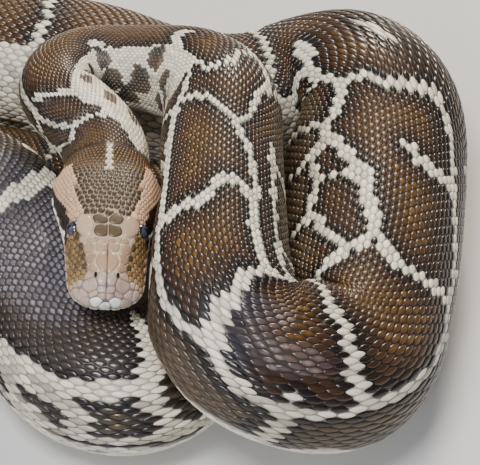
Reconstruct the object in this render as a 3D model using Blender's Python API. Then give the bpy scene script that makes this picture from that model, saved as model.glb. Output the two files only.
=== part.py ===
"""A coiled Burmese python, life size and still, as separate closed solids.

The body is one long loft along a smooth route: a section at every station, wide and slightly flat,
pressed flat where it lies on the floor and where one coil leans on another. Thin cuts part it into
neck, trunk and tail lengths. The head is a second loft, parted at the mouth line into head and lower
jaw, with a socket for each eye. Metres, +Z up; the snout points to -Y; the floor is z = 0.
"""

import math

import bmesh
import bpy
import numpy as np
from mathutils import Matrix, Vector

# ---- driving dimensions -------------------------------------------------------------------------
CM = 0.01
COIL_SHIFT = Vector((0.2222, -0.0591, 0.0))   # puts the middle of the whole coil over the origin

# Girth: (distance behind the nape, radius), both in metres, read as a smooth monotone curve.
GIRTH = (
    (0.000, 0.0300), (0.090, 0.0286), (0.140, 0.0300), (0.230, 0.0385), (0.300, 0.0435),
    (0.390, 0.0495), (0.460, 0.0560), (0.550, 0.0620), (0.690, 0.0665), (0.760, 0.0640),
    (0.820, 0.0600), (1.400, 0.0590), (1.950, 0.0570), (2.200, 0.0550), (2.330, 0.0500),
    (2.450, 0.0410), (2.640, 0.0290), (2.870, 0.0220), (3.080, 0.0135), (3.190, 0.0070),
    (3.250, 0.0028),
)
SECTION_WIDE = 1.04       # half width of a free section over its girth radius
SECTION_TALL = 0.98       # half height of a free section over its girth radius
ROUTE_EVENNESS = 0.75     # power of the gaps between route points that spaces the spline's knots
ROUTE_SAMPLES = 6000      # points read along the spline before it is cut into even steps
SIDES = 20                # facets round the body
RING_STEP = 0.023         # distance between sections
PRESS_SHARPNESS = 14.0    # how tightly the flesh rounds the edge of a flattened place
PRESS_ROUNDS = 3          # times that a section's reach and its neighbours' limits are worked out
FACING_LEAST = 1e-6       # what turns away from a neighbour is never limited by it
NO_LIMIT = 1.0            # a reach longer than any girth
COIL_GAP = 0.0011         # half the clearance left between two coils that lean on each other
BEND_FILL = 0.97          # share of the way to a bend's middle that the inner flesh may fill
BEND_NEAREST = 0.012      # sections closer than this along the body never meet
NEIGHBOUR_SPAN = 1.25     # sections closer than this many summed radii belong to the same bend
CUT_GAP = 0.0004          # clearance between one length of the body and the next

# The route's own points, in centimetres, from the nape to the tip of the tail.
NECK_ARCH = (
    (-9.08, 0.9, 12.9), (-9.21, 2.4, 13.05), (-10.0, 4.3, 13.4), (-11.5, 6.2, 13.7), (-12.8, 8.2, 13.8),
    (-12.4, 10.2, 13.8), (-10.6, 11.3, 13.7), (-8.2, 11.2, 13.7), (-5.6, 10.6, 13.9), (-3.1, 9.3, 14.3),
)
FRONT_LIMB = (
    (-1.3, 6.2, 14.5), (-1.3, 3.0, 14.0), (-1.5, -0.8, 13.4), (-1.6, -5.3, 12.6), (-1.3, -9.5, 11.6),
)
FRONT_BEND = ((0.1, -11.8, 10.3), (3.3, -12.3, 8.4), (6.5, -10.6, 6.6), (8.0, -6.2, 6.1))
REAR_LIMB = ((8.8, -1.0, 6.05), (9.4, 4.3, 6.1), (10.0, 9.5, 6.6), (9.9, 13.2, 7.4))
REAR_BEND = ((8.2, 15.8, 7.5), (5.3, 16.7, 6.4), (1.9, 16.0, 5.6))
BACK_LENGTH = (
    (-2.3, 15.9, 5.45), (-6.6, 17.0, 5.45), (-10.9, 19.3, 5.45), (-15.7, 20.8, 5.45), (-23.5, 23.0, 5.45),
)
SIDE_LOOP_CENTRE = (-40.0, 6.8)        # the wide loop beside the pile, an oval
SIDE_LOOP_RADII = (15.2, 17.3)
SIDE_LOOP_TURN = (78.0, 300.0, 9)      # first and last angle in degrees, and how many points
SIDE_LOOP_HEIGHT = 5.35
TURN_IN_CENTRE = (-23.2, 1.6)          # the tight turn that brings the body back to the pile
TURN_IN_RADIUS = 5.75
TURN_IN_TURN = (170.0, 45.0, 4)
TURN_IN_HEIGHT = 5.1
LEFT_LIMB = (
    (-17.4, 3.8, 5.1), (-15.3, -0.2, 5.08), (-13.1, -5.6, 5.0), (-10.2, -10.1, 4.9), (-6.9, -10.8, 4.7),
)
UNDER_LIMB = ((-4.1, -8.6, 4.35), (-1.9, -3.6, 4.0), (-1.5, 1.8, 3.8), (-4.3, 6.4, 3.45))
TAIL_WAY_OUT = ((-10.3, 9.2, 3.0), (-15.9, 12.4, 2.7), (-22.4, 14.8, 2.45), (-29.5, 15.6, 2.25))
TAIL_SPIRAL_CENTRE = (-40.2, 4.8)
TAIL_SPIRAL_RADII = ((4.9, 9.2), (1.7, 2.0))    # half width and half depth, outer end and tip
TAIL_SPIRAL_TURN = (68.0, 512.0, 14)
TAIL_SPIRAL_HEIGHTS = (2.05, 0.3)

# Where the body is parted: (name of the length, distance behind the nape where it ends).
LENGTHS = (
    ("neck", 0.060), ("trunk_neck_arch", 0.170), ("trunk_front_limb_01", 0.290),
    ("trunk_front_limb_02", 0.375), ("trunk_front_bend", 0.560), ("trunk_mid_limb", 0.640),
    ("trunk_mid_rise", 0.720), ("trunk_rear_bend", 0.900), ("trunk_back", 1.060),
    ("trunk_back_left", 1.220), ("trunk_loop_01", 1.370), ("trunk_loop_02", 1.520),
    ("trunk_loop_03", 1.660), ("trunk_loop_04", 1.800), ("trunk_loop_05", 1.950),
    ("trunk_turn_in", 2.165), ("trunk_left_limb", 2.245), ("trunk_left_bend", 2.400),
    ("trunk_under_limb", 2.590), ("trunk_rear", 2.730), ("trunk_vent", 2.840),
    ("tail_base", 2.990), ("tail_middle", 3.120), ("tail_tip", None),
)

# Head: sections from the nape (0) to the front of the snout (1), in centimetres. Each row gives its
# place, the half width at the lip, the half width of the crown, the height of the crown's middle and
# of its edge over the mouth line, and the depth of the lower jaw.
HEAD_LENGTH = 0.118
HEAD_ROLL = math.radians(6.0)          # the crown leans to the snake's left
HEAD_ROWS = (
    (0.15, 3.80, 2.62, 2.95, 2.35, 2.20),
    (0.25, 3.74, 2.62, 2.96, 2.36, 2.05),
    (0.40, 3.28, 2.32, 2.86, 2.34, 1.80),
    (0.52, 2.92, 2.12, 2.78, 2.34, 1.60),
    (0.62, 2.78, 1.88, 2.62, 2.20, 1.45),
    (0.72, 2.70, 1.50, 2.38, 1.88, 1.32),
    (0.82, 2.60, 1.30, 2.18, 1.66, 1.22),
    (0.92, 2.45, 1.14, 2.02, 1.52, 1.12),
    (1.00, 2.34, 1.05, 1.92, 1.44, 1.05),
)
NAPE_CENTRE_RISE = 0.25                # the neck's axis over the mouth line, in centimetres
NAPE_BLEND = 0.16                      # share of the head over which the neck turns into the head
NAPE_ANGLES = (0, 24, 48, 70, 86, 96, 112, 145, 180)
CROWN_ROUND = (0.56, 0.10)             # key 1: share of the crown's half width, and of its fall to the edge
CHEEK = (0.60, 0.48)                   # key 3: share of the way from the crown's edge to the lip
LIP_TUCK = 0.955                       # key 5, the mouth line: share of the lip's half width
JAW_SIDE = (0.93, 0.34)                # key 6: share of the lip's half width, and of the jaw's depth
JAW_UNDER = (0.60, 0.90)               # key 7: the same, further under
LIP_RISE = 0.42                        # height of the fullest part of the upper lip, in centimetres
SNOUT_ROUND_START = 0.86               # station where the snout starts to round off
SNOUT_ROUND_POWER = 2.2
SNOUT_PIVOT = 0.40                     # share of the snout's height that the rounding closes on
SNOUT_OVERHANG = 0.020                 # share of the head's length by which the lower jaw is shorter
MOUTH_SAG = 0.16                       # dip of the mouth line between its corner and the snout, cm
MOUTH_CORNER = 0.20
MOUTH_GAP = 0.0004
HEAD_STATIONS = (
    0.0, 0.06, 0.12, 0.18, 0.24, 0.31, 0.38, 0.45, 0.51, 0.57, 0.63, 0.69, 0.75, 0.80, 0.85, 0.90,
    0.94, 0.97, 0.988, 0.998,
)
HEAD_BALLS = (0.10, 0.20, 0.30, 0.40, 0.50, 0.60, 0.70, 0.80, 0.87)   # balls the coils rest against
KEY_STEPS = 2                          # mesh steps from one key line of the head to the next
TOP_KEY, MOUTH_KEY, CHIN_KEY = 0, 5, 8

EYE_RADIUS = 0.0058
EYE_STATION = 0.550
EYE_KEY = 2.66                         # just under the brow line, which is key line 2
EYE_SINK = 0.0031                      # the eyeball's centre lies this far under the surface
EYE_STATION_PROBE = 0.02               # steps each way that give the surface's slope at the eye
EYE_KEY_PROBE = 0.1
BALL_SIDES = 16
BALL_ROWS = 10
SHARP_EDGE = math.radians(50)
SOCKET_GAP = 0.0004
MATERIALS = {                          # colour and roughness
    "skin_dark": ((0.075, 0.045, 0.020, 1.0), 0.32),
    "skin_head": ((0.42, 0.29, 0.19, 1.0), 0.38),
    "skin_jaw": ((0.62, 0.54, 0.44, 1.0), 0.42),
    "eye": ((0.02, 0.025, 0.035, 1.0), 0.06),
}


# ---- curves -------------------------------------------------------------------------------------
def arc_points(centre, radii, turn, heights):
    """Points along an oval or a spiral arc, with the radius and the height changing evenly."""
    first, last, count = turn
    points = []
    for step in range(count):
        share = step / (count - 1)
        angle = math.radians(first + (last - first) * share)
        radius_x, radius_y = radii(share)
        height = heights[0] + (heights[1] - heights[0]) * share
        x = centre[0] + radius_x * math.cos(angle)
        y = centre[1] + radius_y * math.sin(angle)
        points.append((x, y, height))
    return tuple(points)


def route_points():
    """The whole route in metres, from the nape to the tip of the tail."""
    loop = arc_points(SIDE_LOOP_CENTRE, lambda share: SIDE_LOOP_RADII, SIDE_LOOP_TURN,
                      (SIDE_LOOP_HEIGHT, SIDE_LOOP_HEIGHT))
    turn_in = arc_points(TURN_IN_CENTRE, lambda share: (TURN_IN_RADIUS, TURN_IN_RADIUS), TURN_IN_TURN,
                         (TURN_IN_HEIGHT, TURN_IN_HEIGHT))

    def spiral(share):
        outer, inner = TAIL_SPIRAL_RADII
        return outer[0] + (inner[0] - outer[0]) * share, outer[1] + (inner[1] - outer[1]) * share
    tail = arc_points(TAIL_SPIRAL_CENTRE, spiral, TAIL_SPIRAL_TURN, TAIL_SPIRAL_HEIGHTS)
    rows = (NECK_ARCH + FRONT_LIMB + FRONT_BEND + REAR_LIMB + REAR_BEND + BACK_LENGTH + loop
            + turn_in + LEFT_LIMB + UNDER_LIMB + TAIL_WAY_OUT + tail)
    return np.array(rows) * CM + np.array(COIL_SHIFT)


def spline_slopes(knots, values):
    """Second derivatives of the natural cubic spline through values at knots."""
    count = len(knots)
    step = np.diff(knots)
    matrix = np.eye(count)
    right = np.zeros_like(values)
    for i in range(1, count - 1):
        matrix[i, i - 1] = step[i - 1] / 6
        matrix[i, i] = (step[i - 1] + step[i]) / 3
        matrix[i, i + 1] = step[i] / 6
        right[i] = (values[i + 1] - values[i]) / step[i] - (values[i] - values[i - 1]) / step[i - 1]
    return np.linalg.solve(matrix, right)


def spline(knots, values, at):
    """The natural cubic spline through values at knots, read at the places given."""
    bend = spline_slopes(knots, values)
    cell = np.clip(np.searchsorted(knots, at, side="right") - 1, 0, len(knots) - 2)
    width = (knots[cell + 1] - knots[cell])[:, None]
    near = (knots[cell + 1] - at)[:, None] / width
    far = 1 - near
    curve = ((near ** 3 - near) * bend[cell] + (far ** 3 - far) * bend[cell + 1]) * width ** 2 / 6
    return near * values[cell] + far * values[cell + 1] + curve


def monotone(table, at):
    """A smooth curve through (place, value) rows that never overshoots them."""
    knots, values = np.array(table, float).T
    step = np.diff(knots)
    rise = np.diff(values) / step
    slope = np.zeros_like(values)
    for i in range(1, len(knots) - 1):
        if rise[i - 1] * rise[i] > 0:
            before = 2 * step[i] + step[i - 1]
            after = step[i] + 2 * step[i - 1]
            slope[i] = (before + after) / (before / rise[i - 1] + after / rise[i])
    slope[0] = rise[0]
    slope[-1] = rise[-1]
    at = np.clip(at, knots[0], knots[-1])
    cell = np.clip(np.searchsorted(knots, at, side="right") - 1, 0, len(knots) - 2)
    x = (at - knots[cell]) / step[cell]
    start = (1 + 2 * x) * (1 - x) ** 2 * values[cell] + x * (1 - x) ** 2 * step[cell] * slope[cell]
    end = x * x * (3 - 2 * x) * values[cell + 1] + x * x * (x - 1) * step[cell] * slope[cell + 1]
    return start + end


def smooth_step(x):
    x = np.clip(x, 0.0, 1.0)
    return x * x * (3 - 2 * x)


# ---- the body's route ---------------------------------------------------------------------------
class Route:
    """Even samples along the body's axis, each with its directions and girth."""

    STEP = 0.005

    def __init__(self):
        points = route_points()
        legs = np.linalg.norm(np.diff(points, axis=0), axis=1)
        knots = np.concatenate([[0.0], np.cumsum(legs ** ROUTE_EVENNESS)])
        dense = spline(knots, points, np.linspace(0, knots[-1], ROUTE_SAMPLES))
        run = np.concatenate([[0.0], np.cumsum(np.linalg.norm(np.diff(dense, axis=0), axis=1))])
        self.length = run[-1]
        self.place = np.linspace(0, self.length, int(round(self.length / self.STEP)) + 1)
        self.centre = np.stack([np.interp(self.place, run, dense[:, k]) for k in range(3)], -1)
        self.tangent = unit(np.gradient(self.centre, axis=0))
        rise = np.array([0, 0, 1.0]) - self.tangent * self.tangent[:, 2:3]
        self.up = unit(rise)
        self.left = np.cross(self.tangent, self.up)
        self.radius = monotone(GIRTH, self.place)
        self.around = (self.centre, self.radius, self.place, np.zeros(len(self.place), bool))

    def add_hard_balls(self, centres, radii, places):
        """Firm balls that stand for the head: they press the body and are not pressed by it."""
        balls = (np.array(centres), np.array(radii), np.array(places), np.ones(len(radii), bool))
        self.around = tuple(np.concatenate(pair) for pair in zip(self.around, balls))

    def at(self, places):
        """Centre, up, left and radius at the places given, each interpolated."""
        read = []
        for values in (self.centre, self.up, self.left, self.radius[:, None]):
            columns = [np.interp(places, self.place, values[:, k]) for k in range(values.shape[1])]
            read.append(np.stack(columns, -1))
        return read


def unit(vectors):
    return vectors / np.linalg.norm(vectors, axis=-1, keepdims=True)


def rings(route, places, sides):
    """Points round the body at each place: free oval sections, pressed by bends, coils and floor."""
    centre, up, left, radius = route.at(places)
    angle = np.linspace(0, 2 * math.pi, sides, endpoint=False)
    across = np.sin(angle)[None, :, None] * left[:, None, :]
    out = across + np.cos(angle)[None, :, None] * up[:, None, :]
    oval = np.sqrt((np.sin(angle) / SECTION_WIDE) ** 2 + (np.cos(angle) / SECTION_TALL) ** 2)
    free = radius / oval[None, :]
    bend = bend_limit(route, places, centre, radius, out)
    limit = bend
    for _ in range(PRESS_ROUNDS):
        reach = np.minimum(free, limit)
        limit = np.minimum(bend, coil_limit(route, places, centre, radius, out, reach))
    pressed = (free ** -PRESS_SHARPNESS + limit ** -PRESS_SHARPNESS) ** (-1 / PRESS_SHARPNESS)
    points = centre[:, None] + out * pressed[:, :, None]
    points[:, :, 2] = np.maximum(points[:, :, 2], 0.0)
    return points


def bend_limit(route, places, centre, radius, out):
    """How far flesh can reach inside a bend before it meets flesh from further round the bend."""
    towards = route.centre[None] - centre[:, None]
    apart = np.abs(places[:, None] - route.place[None])
    same_bend = (apart < NEIGHBOUR_SPAN * (radius + route.radius[None])) & (apart > BEND_NEAREST)
    facing = np.einsum("ijk,imk->ijm", out, towards)
    halfway = (towards ** 2).sum(-1)[:, None] / 2
    meets = same_bend[:, None] & (facing > FACING_LEAST)
    limit = np.where(meets, halfway / np.maximum(facing, FACING_LEAST), NO_LIMIT)
    return BEND_FILL * limit.min(-1)


def coil_limit(route, places, centre, radius, out, reach):
    """How far each point can reach before it meets another coil's shared face, or the head."""
    others, girths, stations, firm = route.around
    surface = centre[:, None] + out * reach[:, :, None]
    apart = np.linalg.norm(surface[:, :, None] - others[None, None], axis=-1)
    power = apart ** 2 - girths[None, None] ** 2
    span = NEIGHBOUR_SPAN * (radius + girths[None])
    near = np.abs(places[:, None] - stations[None]) < span
    power = np.where(near[:, None, :], NO_LIMIT, power)
    nearest = power.argmin(-1)
    towards = others[nearest] - centre[:, None]
    gap = np.linalg.norm(towards, axis=-1)
    shared = (gap ** 2 + radius ** 2 - girths[nearest] ** 2) / 2
    share = np.where(firm[nearest], gap * (gap - girths[nearest]), shared)
    facing = (out * towards).sum(-1)
    reach = share / np.maximum(facing, FACING_LEAST) - COIL_GAP
    return np.where(facing > FACING_LEAST, reach, NO_LIMIT)


# ---- meshes -------------------------------------------------------------------------------------
def add_object(name, mesh, collection, material):
    """Wraps a bmesh in an object with its material, in the collection given."""
    bmesh.ops.recalc_face_normals(mesh, faces=mesh.faces)
    data = bpy.data.meshes.new(name)
    mesh.to_mesh(data)
    mesh.free()
    data.shade_smooth()
    data.set_sharp_from_angle(angle=SHARP_EDGE)
    obj = bpy.data.objects.new(name, data)
    obj.data.materials.append(material)
    collection.objects.link(obj)
    return obj


def loft(sections):
    """A closed solid through rings of equal length, capped flat at both ends."""
    mesh = bmesh.new()
    grid = [[mesh.verts.new(point) for point in ring] for ring in sections]
    for ring, following in zip(grid, grid[1:]):
        for k in range(len(ring)):
            after = (k + 1) % len(ring)
            mesh.faces.new((ring[k], ring[after], following[after], following[k]))
    for ring in (grid[0], grid[-1]):
        hub = mesh.verts.new(sum((v.co for v in ring), Vector()) / len(ring))
        for k in range(len(ring)):
            mesh.faces.new((ring[k], ring[(k + 1) % len(ring)], hub))
    return mesh


def make_material(name):
    colour, roughness = MATERIALS[name]
    material = bpy.data.materials.new(name)
    material.use_nodes = True
    shader = material.node_tree.nodes["Principled BSDF"]
    shader.inputs["Base Color"].default_value = colour
    shader.inputs["Roughness"].default_value = roughness
    shader.inputs["Metallic"].default_value = 0.0
    material.diffuse_color = colour
    return material


def make_lengths(route, collection, material):
    """The neck, trunk and tail lengths, parted by thin cuts square to the body."""
    start = 0.0
    for name, finish in LENGTHS:
        end = route.length if finish is None else finish
        first = start + (CUT_GAP / 2 if start else CUT_GAP)
        last = end - (CUT_GAP / 2 if finish else 0.0)
        count = max(3, math.ceil((last - first) / RING_STEP) + 1)
        places = np.linspace(first, last, count)
        add_object(name, loft(rings(route, places, SIDES)), collection, material)
        start = end


# ---- the head -----------------------------------------------------------------------------------
def head_frame(route):
    """Axes of the head at the nape: +X the snake's right, +Y towards the snout, +Z the crown."""
    forward = Vector(-route.tangent[0])
    up = Vector(route.up[0])
    left = up.cross(forward)
    crown = up * math.cos(HEAD_ROLL) + left * math.sin(HEAD_ROLL)
    right = forward.cross(crown)
    turn = Matrix((right, forward, crown)).transposed().to_4x4()
    origin = Vector(route.centre[0]) - crown * NAPE_CENTRE_RISE * CM
    return Matrix.Translation(origin) @ turn


def mouth_height(station):
    """Height of the mouth line over its level at the snout and at the nape, in centimetres."""
    share = (station - MOUTH_CORNER) / (1 - MOUTH_CORNER)
    return -MOUTH_SAG * math.sin(math.pi * min(max(share, 0.0), 1.0))


def nape_keys():
    """Key points of the neck's own oval section, from the top round one side to the bottom."""
    wide = GIRTH[0][1] / CM * SECTION_WIDE
    tall = GIRTH[0][1] / CM * SECTION_TALL
    angles = [math.radians(a) for a in NAPE_ANGLES]
    return np.array([(wide * math.sin(a), NAPE_CENTRE_RISE + tall * math.cos(a)) for a in angles])


def head_keys(station):
    """Key points of one side of a head section, from the crown's middle to the chin's middle."""
    table = np.array(HEAD_ROWS)
    sizes = [monotone(table[:, (0, k)], np.array([station]))[0] for k in range(1, table.shape[1])]
    lip, crown, top, edge, jaw = sizes
    mouth = mouth_height(station)
    keys = np.array((
        (0.0, top),
        (CROWN_ROUND[0] * crown, top - CROWN_ROUND[1] * (top - edge)),
        (crown, edge),
        (crown + CHEEK[0] * (lip - crown), edge + CHEEK[1] * (LIP_RISE - edge)),
        (lip, LIP_RISE + mouth),
        (LIP_TUCK * lip, mouth),
        (JAW_SIDE[0] * lip, -JAW_SIDE[1] * jaw + mouth),
        (JAW_UNDER[0] * lip, -JAW_UNDER[1] * jaw),
        (0.0, -jaw),
    ))
    blend = smooth_step(station / NAPE_BLEND)
    keys = nape_keys() * (1 - blend) + keys * blend
    share = max(0.0, (station - SNOUT_ROUND_START) / (1 - SNOUT_ROUND_START))
    close = max(0.0, 1 - share ** SNOUT_ROUND_POWER) ** (1 / SNOUT_ROUND_POWER)
    pivot = SNOUT_PIVOT * top
    keys[:, 0] *= close
    over = keys[:, 1] > pivot
    under = keys[:, 1] < mouth
    keys[over, 1] = pivot + (keys[over, 1] - pivot) * close
    keys[under, 1] = mouth + (keys[under, 1] - mouth) * close
    return keys


def head_point(station, key):
    """A point of the head's surface in its own frame, in metres; key runs 0 to 8 down one side."""
    keys = head_keys(station)
    mirrored = keys[1:-1][::-1] * np.array((-1, 1))
    ring = np.concatenate([keys, mirrored, keys[:3]])
    ring = np.concatenate([mirrored[-2:], ring])
    x, z = spline(np.arange(len(ring), dtype=float) - 2, ring, np.array([float(key)]))[0]
    length = HEAD_LENGTH * (1 - SNOUT_OVERHANG * smooth_step(key - MOUTH_KEY) * station)
    return Vector((x * CM, station * length, z * CM))


def press_head_in(route, frame):
    """Tells the coils where the head is: two rows of balls that fill its sections."""
    centres, radii, places = [], [], []
    for station in HEAD_BALLS:
        keys = head_keys(station)
        radius = (keys[0, 1] - keys[-1, 1]) / 2
        reach = max(keys[:, 0].max() - radius, 0.0)
        for side in (-1, 1):
            at = Vector((side * reach * CM, station * HEAD_LENGTH, (keys[-1, 1] + radius) * CM))
            centres.append(frame @ at)
            radii.append(radius * CM)
            places.append(-station * HEAD_LENGTH)
    route.add_hard_balls(centres, radii, places)


def head_side(station, first, last):
    """Points down one side of a head section, from one key line to another."""
    count = (last - first) * KEY_STEPS + 1
    return [head_point(station, first + k / KEY_STEPS) for k in range(count)]


def mirrored(points):
    return [Vector((-p.x, p.y, p.z)) for p in points]


def make_head(frame, collection, material):
    """The upper head, from the crown down to the mouth line."""
    sections = []
    for station in HEAD_STATIONS:
        side = head_side(station, TOP_KEY, MOUTH_KEY)
        side[-1].z += MOUTH_GAP / 2
        floor = Vector((0.0, side[-1].y, side[-1].z))
        ring = side + [floor] + mirrored(side[1:])[::-1]
        sections.append([frame @ point for point in ring])
    return add_object("head", loft(sections), collection, material)


def make_jaw(frame, collection, material):
    """The lower jaw and throat, from the mouth line down to the chin."""
    sections = []
    for station in HEAD_STATIONS:
        side = head_side(station, MOUTH_KEY, CHIN_KEY)
        side[0].z -= MOUTH_GAP / 2
        side[0].y = side[1].y
        roof = Vector((0.0, side[0].y, side[0].z))
        ring = side + mirrored(side[:-1])[::-1] + [roof]
        sections.append([frame @ point for point in ring])
    return add_object("lower_jaw", loft(sections), collection, material)


def eye_place(frame, side):
    """Centre of an eyeball, sunk square to the surface; side is 1 on the snake's right, -1 left."""
    middle = head_point(EYE_STATION, EYE_KEY)
    ahead = head_point(EYE_STATION + EYE_STATION_PROBE, EYE_KEY)
    behind = head_point(EYE_STATION - EYE_STATION_PROBE, EYE_KEY)
    below = head_point(EYE_STATION, EYE_KEY + EYE_KEY_PROBE)
    above = head_point(EYE_STATION, EYE_KEY - EYE_KEY_PROBE)
    normal = (below - above).cross(ahead - behind).normalized()
    if normal.x < 0:
        normal.negate()
    centre = middle - normal * EYE_SINK
    return frame @ Vector((centre.x * side, centre.y, centre.z))


def make_ball(name, centre, radius, collection, material):
    mesh = bmesh.new()
    bmesh.ops.create_uvsphere(mesh, u_segments=BALL_SIDES, v_segments=BALL_ROWS, radius=radius)
    ball = add_object(name, mesh, collection, material)
    ball.location = centre
    return ball


def make_eyes(frame, head, parts, cutters, material):
    """Both eyeballs, and the sockets that they sit in with a little clearance."""
    for name, side in (("eye_right", 1), ("eye_left", -1)):
        centre = eye_place(frame, side)
        make_ball(name, centre, EYE_RADIUS, parts, material)
        cutter = make_ball(name + "_socket", centre, EYE_RADIUS + SOCKET_GAP, cutters, material)
        cutter.hide_render = True
        cutter.display_type = "WIRE"
        cut = head.modifiers.new(name + "_socket", "BOOLEAN")
        cut.operation = "DIFFERENCE"
        cut.object = cutter


def new_collection(name):
    collection = bpy.data.collections.new(name)
    bpy.context.scene.collection.children.link(collection)
    return collection


def main():
    for old in list(bpy.data.objects):
        bpy.data.objects.remove(old, do_unlink=True)
    parts = new_collection("coiled_python")
    cutters = new_collection("cutters")
    route = Route()
    frame = head_frame(route)
    press_head_in(route, frame)
    make_lengths(route, parts, make_material("skin_dark"))
    head = make_head(frame, parts, make_material("skin_head"))
    make_jaw(frame, parts, make_material("skin_jaw"))
    make_eyes(frame, head, parts, cutters, make_material("eye"))


main()
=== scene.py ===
import math
from collections import namedtuple

import bpy
import numpy as np
from mathutils import Matrix, Vector
from mathutils.bvhtree import BVHTree


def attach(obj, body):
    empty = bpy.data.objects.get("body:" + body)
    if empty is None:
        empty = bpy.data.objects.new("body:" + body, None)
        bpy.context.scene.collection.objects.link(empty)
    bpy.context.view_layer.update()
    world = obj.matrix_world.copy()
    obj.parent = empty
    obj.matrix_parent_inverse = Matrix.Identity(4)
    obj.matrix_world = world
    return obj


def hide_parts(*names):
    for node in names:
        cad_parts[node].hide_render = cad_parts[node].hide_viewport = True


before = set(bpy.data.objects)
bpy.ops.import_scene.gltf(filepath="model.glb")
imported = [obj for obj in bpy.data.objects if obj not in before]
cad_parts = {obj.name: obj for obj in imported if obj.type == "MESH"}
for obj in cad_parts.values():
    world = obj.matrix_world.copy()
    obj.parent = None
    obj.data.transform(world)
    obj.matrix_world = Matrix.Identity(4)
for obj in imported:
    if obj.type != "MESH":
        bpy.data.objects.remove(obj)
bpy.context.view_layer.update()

# A coiled Burmese python. One skin runs from the snout to the tail's tip, a little inside the packed
# solids. Over it lie the coat's pieces: rows of body scales, belly plates, and the shields and small
# scales of the head. All are placed on the same two surfaces, one for the body and one for the head.

# ---- the body's route and girth, as the solids have them ----------------------------------------
# Points of the route are in centimetres before COIL_SHIFT, a girth is (metres from the nape, radius).
CM = 0.01
COIL_SHIFT = np.array((0.2222, -0.0591, 0.0))
GIRTH = (
    (0.000, 0.0300), (0.090, 0.0286), (0.140, 0.0300), (0.230, 0.0385), (0.300, 0.0435),
    (0.390, 0.0495), (0.460, 0.0560), (0.550, 0.0620), (0.690, 0.0665), (0.760, 0.0640),
    (0.820, 0.0600), (1.400, 0.0590), (1.950, 0.0570), (2.200, 0.0550), (2.330, 0.0500),
    (2.450, 0.0410), (2.640, 0.0290), (2.870, 0.0220), (3.080, 0.0135), (3.190, 0.0070),
    (3.250, 0.0028),
)
SECTION_WIDE = 1.04            # half width and half height of a free section, by its radius
SECTION_TALL = 0.98
PRESS_SHARPNESS = 14.0         # how sharply a section turns from free to pressed
COIL_GAP = 0.0011              # each coil stops this far short of the face it shares with another
BEND_FILL = 0.97               # share of the room inside a bend that the flesh takes up
BEND_NEAREST = 0.012           # samples nearer than this along the body are never in the way
NEIGHBOUR_SPAN = 1.25          # nearer than this by both radii, two samples belong to the same bend
PRESS_ROUNDS = 3               # times that a section's reach and its neighbours' limits are worked out
FACING_LEAST = 1e-6            # what turns away from a neighbour is never limited by it
NO_LIMIT = 1.0                 # a reach longer than any girth
ROUTE_EVENNESS = 0.75          # power of the gaps between route points that spaces the spline's knots
ROUTE_SAMPLES = 6000           # points read along the spline before it is cut into even steps
NECK_ARCH = (
    (-9.08, 0.9, 12.9), (-9.21, 2.4, 13.05), (-10.0, 4.3, 13.4), (-11.5, 6.2, 13.7), (-12.8, 8.2, 13.8),
    (-12.4, 10.2, 13.8), (-10.6, 11.3, 13.7), (-8.2, 11.2, 13.7), (-5.6, 10.6, 13.9), (-3.1, 9.3, 14.3),
)
FRONT_LIMB = (
    (-1.3, 6.2, 14.5), (-1.3, 3.0, 14.0), (-1.5, -0.8, 13.4), (-1.6, -5.3, 12.6), (-1.3, -9.5, 11.6),
)
FRONT_BEND = ((0.1, -11.8, 10.3), (3.3, -12.3, 8.4), (6.5, -10.6, 6.6), (8.0, -6.2, 6.1))
REAR_LIMB = ((8.8, -1.0, 6.05), (9.4, 4.3, 6.1), (10.0, 9.5, 6.6), (9.9, 13.2, 7.4))
REAR_BEND = ((8.2, 15.8, 7.5), (5.3, 16.7, 6.4), (1.9, 16.0, 5.6))
BACK_LENGTH = (
    (-2.3, 15.9, 5.45), (-6.6, 17.0, 5.45), (-10.9, 19.3, 5.45), (-15.7, 20.8, 5.45), (-23.5, 23.0, 5.45),
)
SIDE_LOOP_CENTRE = (-40.0, 6.8)
SIDE_LOOP_RADII = (15.2, 17.3)
SIDE_LOOP_TURN = (78.0, 300.0, 9)
SIDE_LOOP_HEIGHT = 5.35
TURN_IN_CENTRE = (-23.2, 1.6)
TURN_IN_RADIUS = 5.75
TURN_IN_TURN = (170.0, 45.0, 4)
TURN_IN_HEIGHT = 5.1
LEFT_LIMB = (
    (-17.4, 3.8, 5.1), (-15.3, -0.2, 5.08), (-13.1, -5.6, 5.0), (-10.2, -10.1, 4.9), (-6.9, -10.8, 4.7),
)
UNDER_LIMB = ((-4.1, -8.6, 4.35), (-1.9, -3.6, 4.0), (-1.5, 1.8, 3.8), (-4.3, 6.4, 3.45))
TAIL_WAY_OUT = ((-10.3, 9.2, 3.0), (-15.9, 12.4, 2.7), (-22.4, 14.8, 2.45), (-29.5, 15.6, 2.25))
TAIL_SPIRAL_CENTRE = (-40.2, 4.8)
TAIL_SPIRAL_RADII = ((4.9, 9.2), (1.7, 2.0))
TAIL_SPIRAL_TURN = (68.0, 512.0, 14)
TAIL_SPIRAL_HEIGHTS = (2.05, 0.3)

# How far the back's midline is turned towards the snake's left: (distance in metres, degrees).
ROLL = (
    (0.000, 6), (0.020, 3), (0.050, 0), (0.390, 0), (0.430, 5), (0.460, 12), (0.500, 18),
    (0.550, 24), (0.610, 26), (0.665, 25), (0.715, 20), (0.750, 10), (0.780, 0), (3.300, 0),
)

# ---- the head, as the solids have it ------------------------------------------------------------
HEAD_LENGTH = 0.118
HEAD_ROLL = math.radians(6.0)
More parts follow.
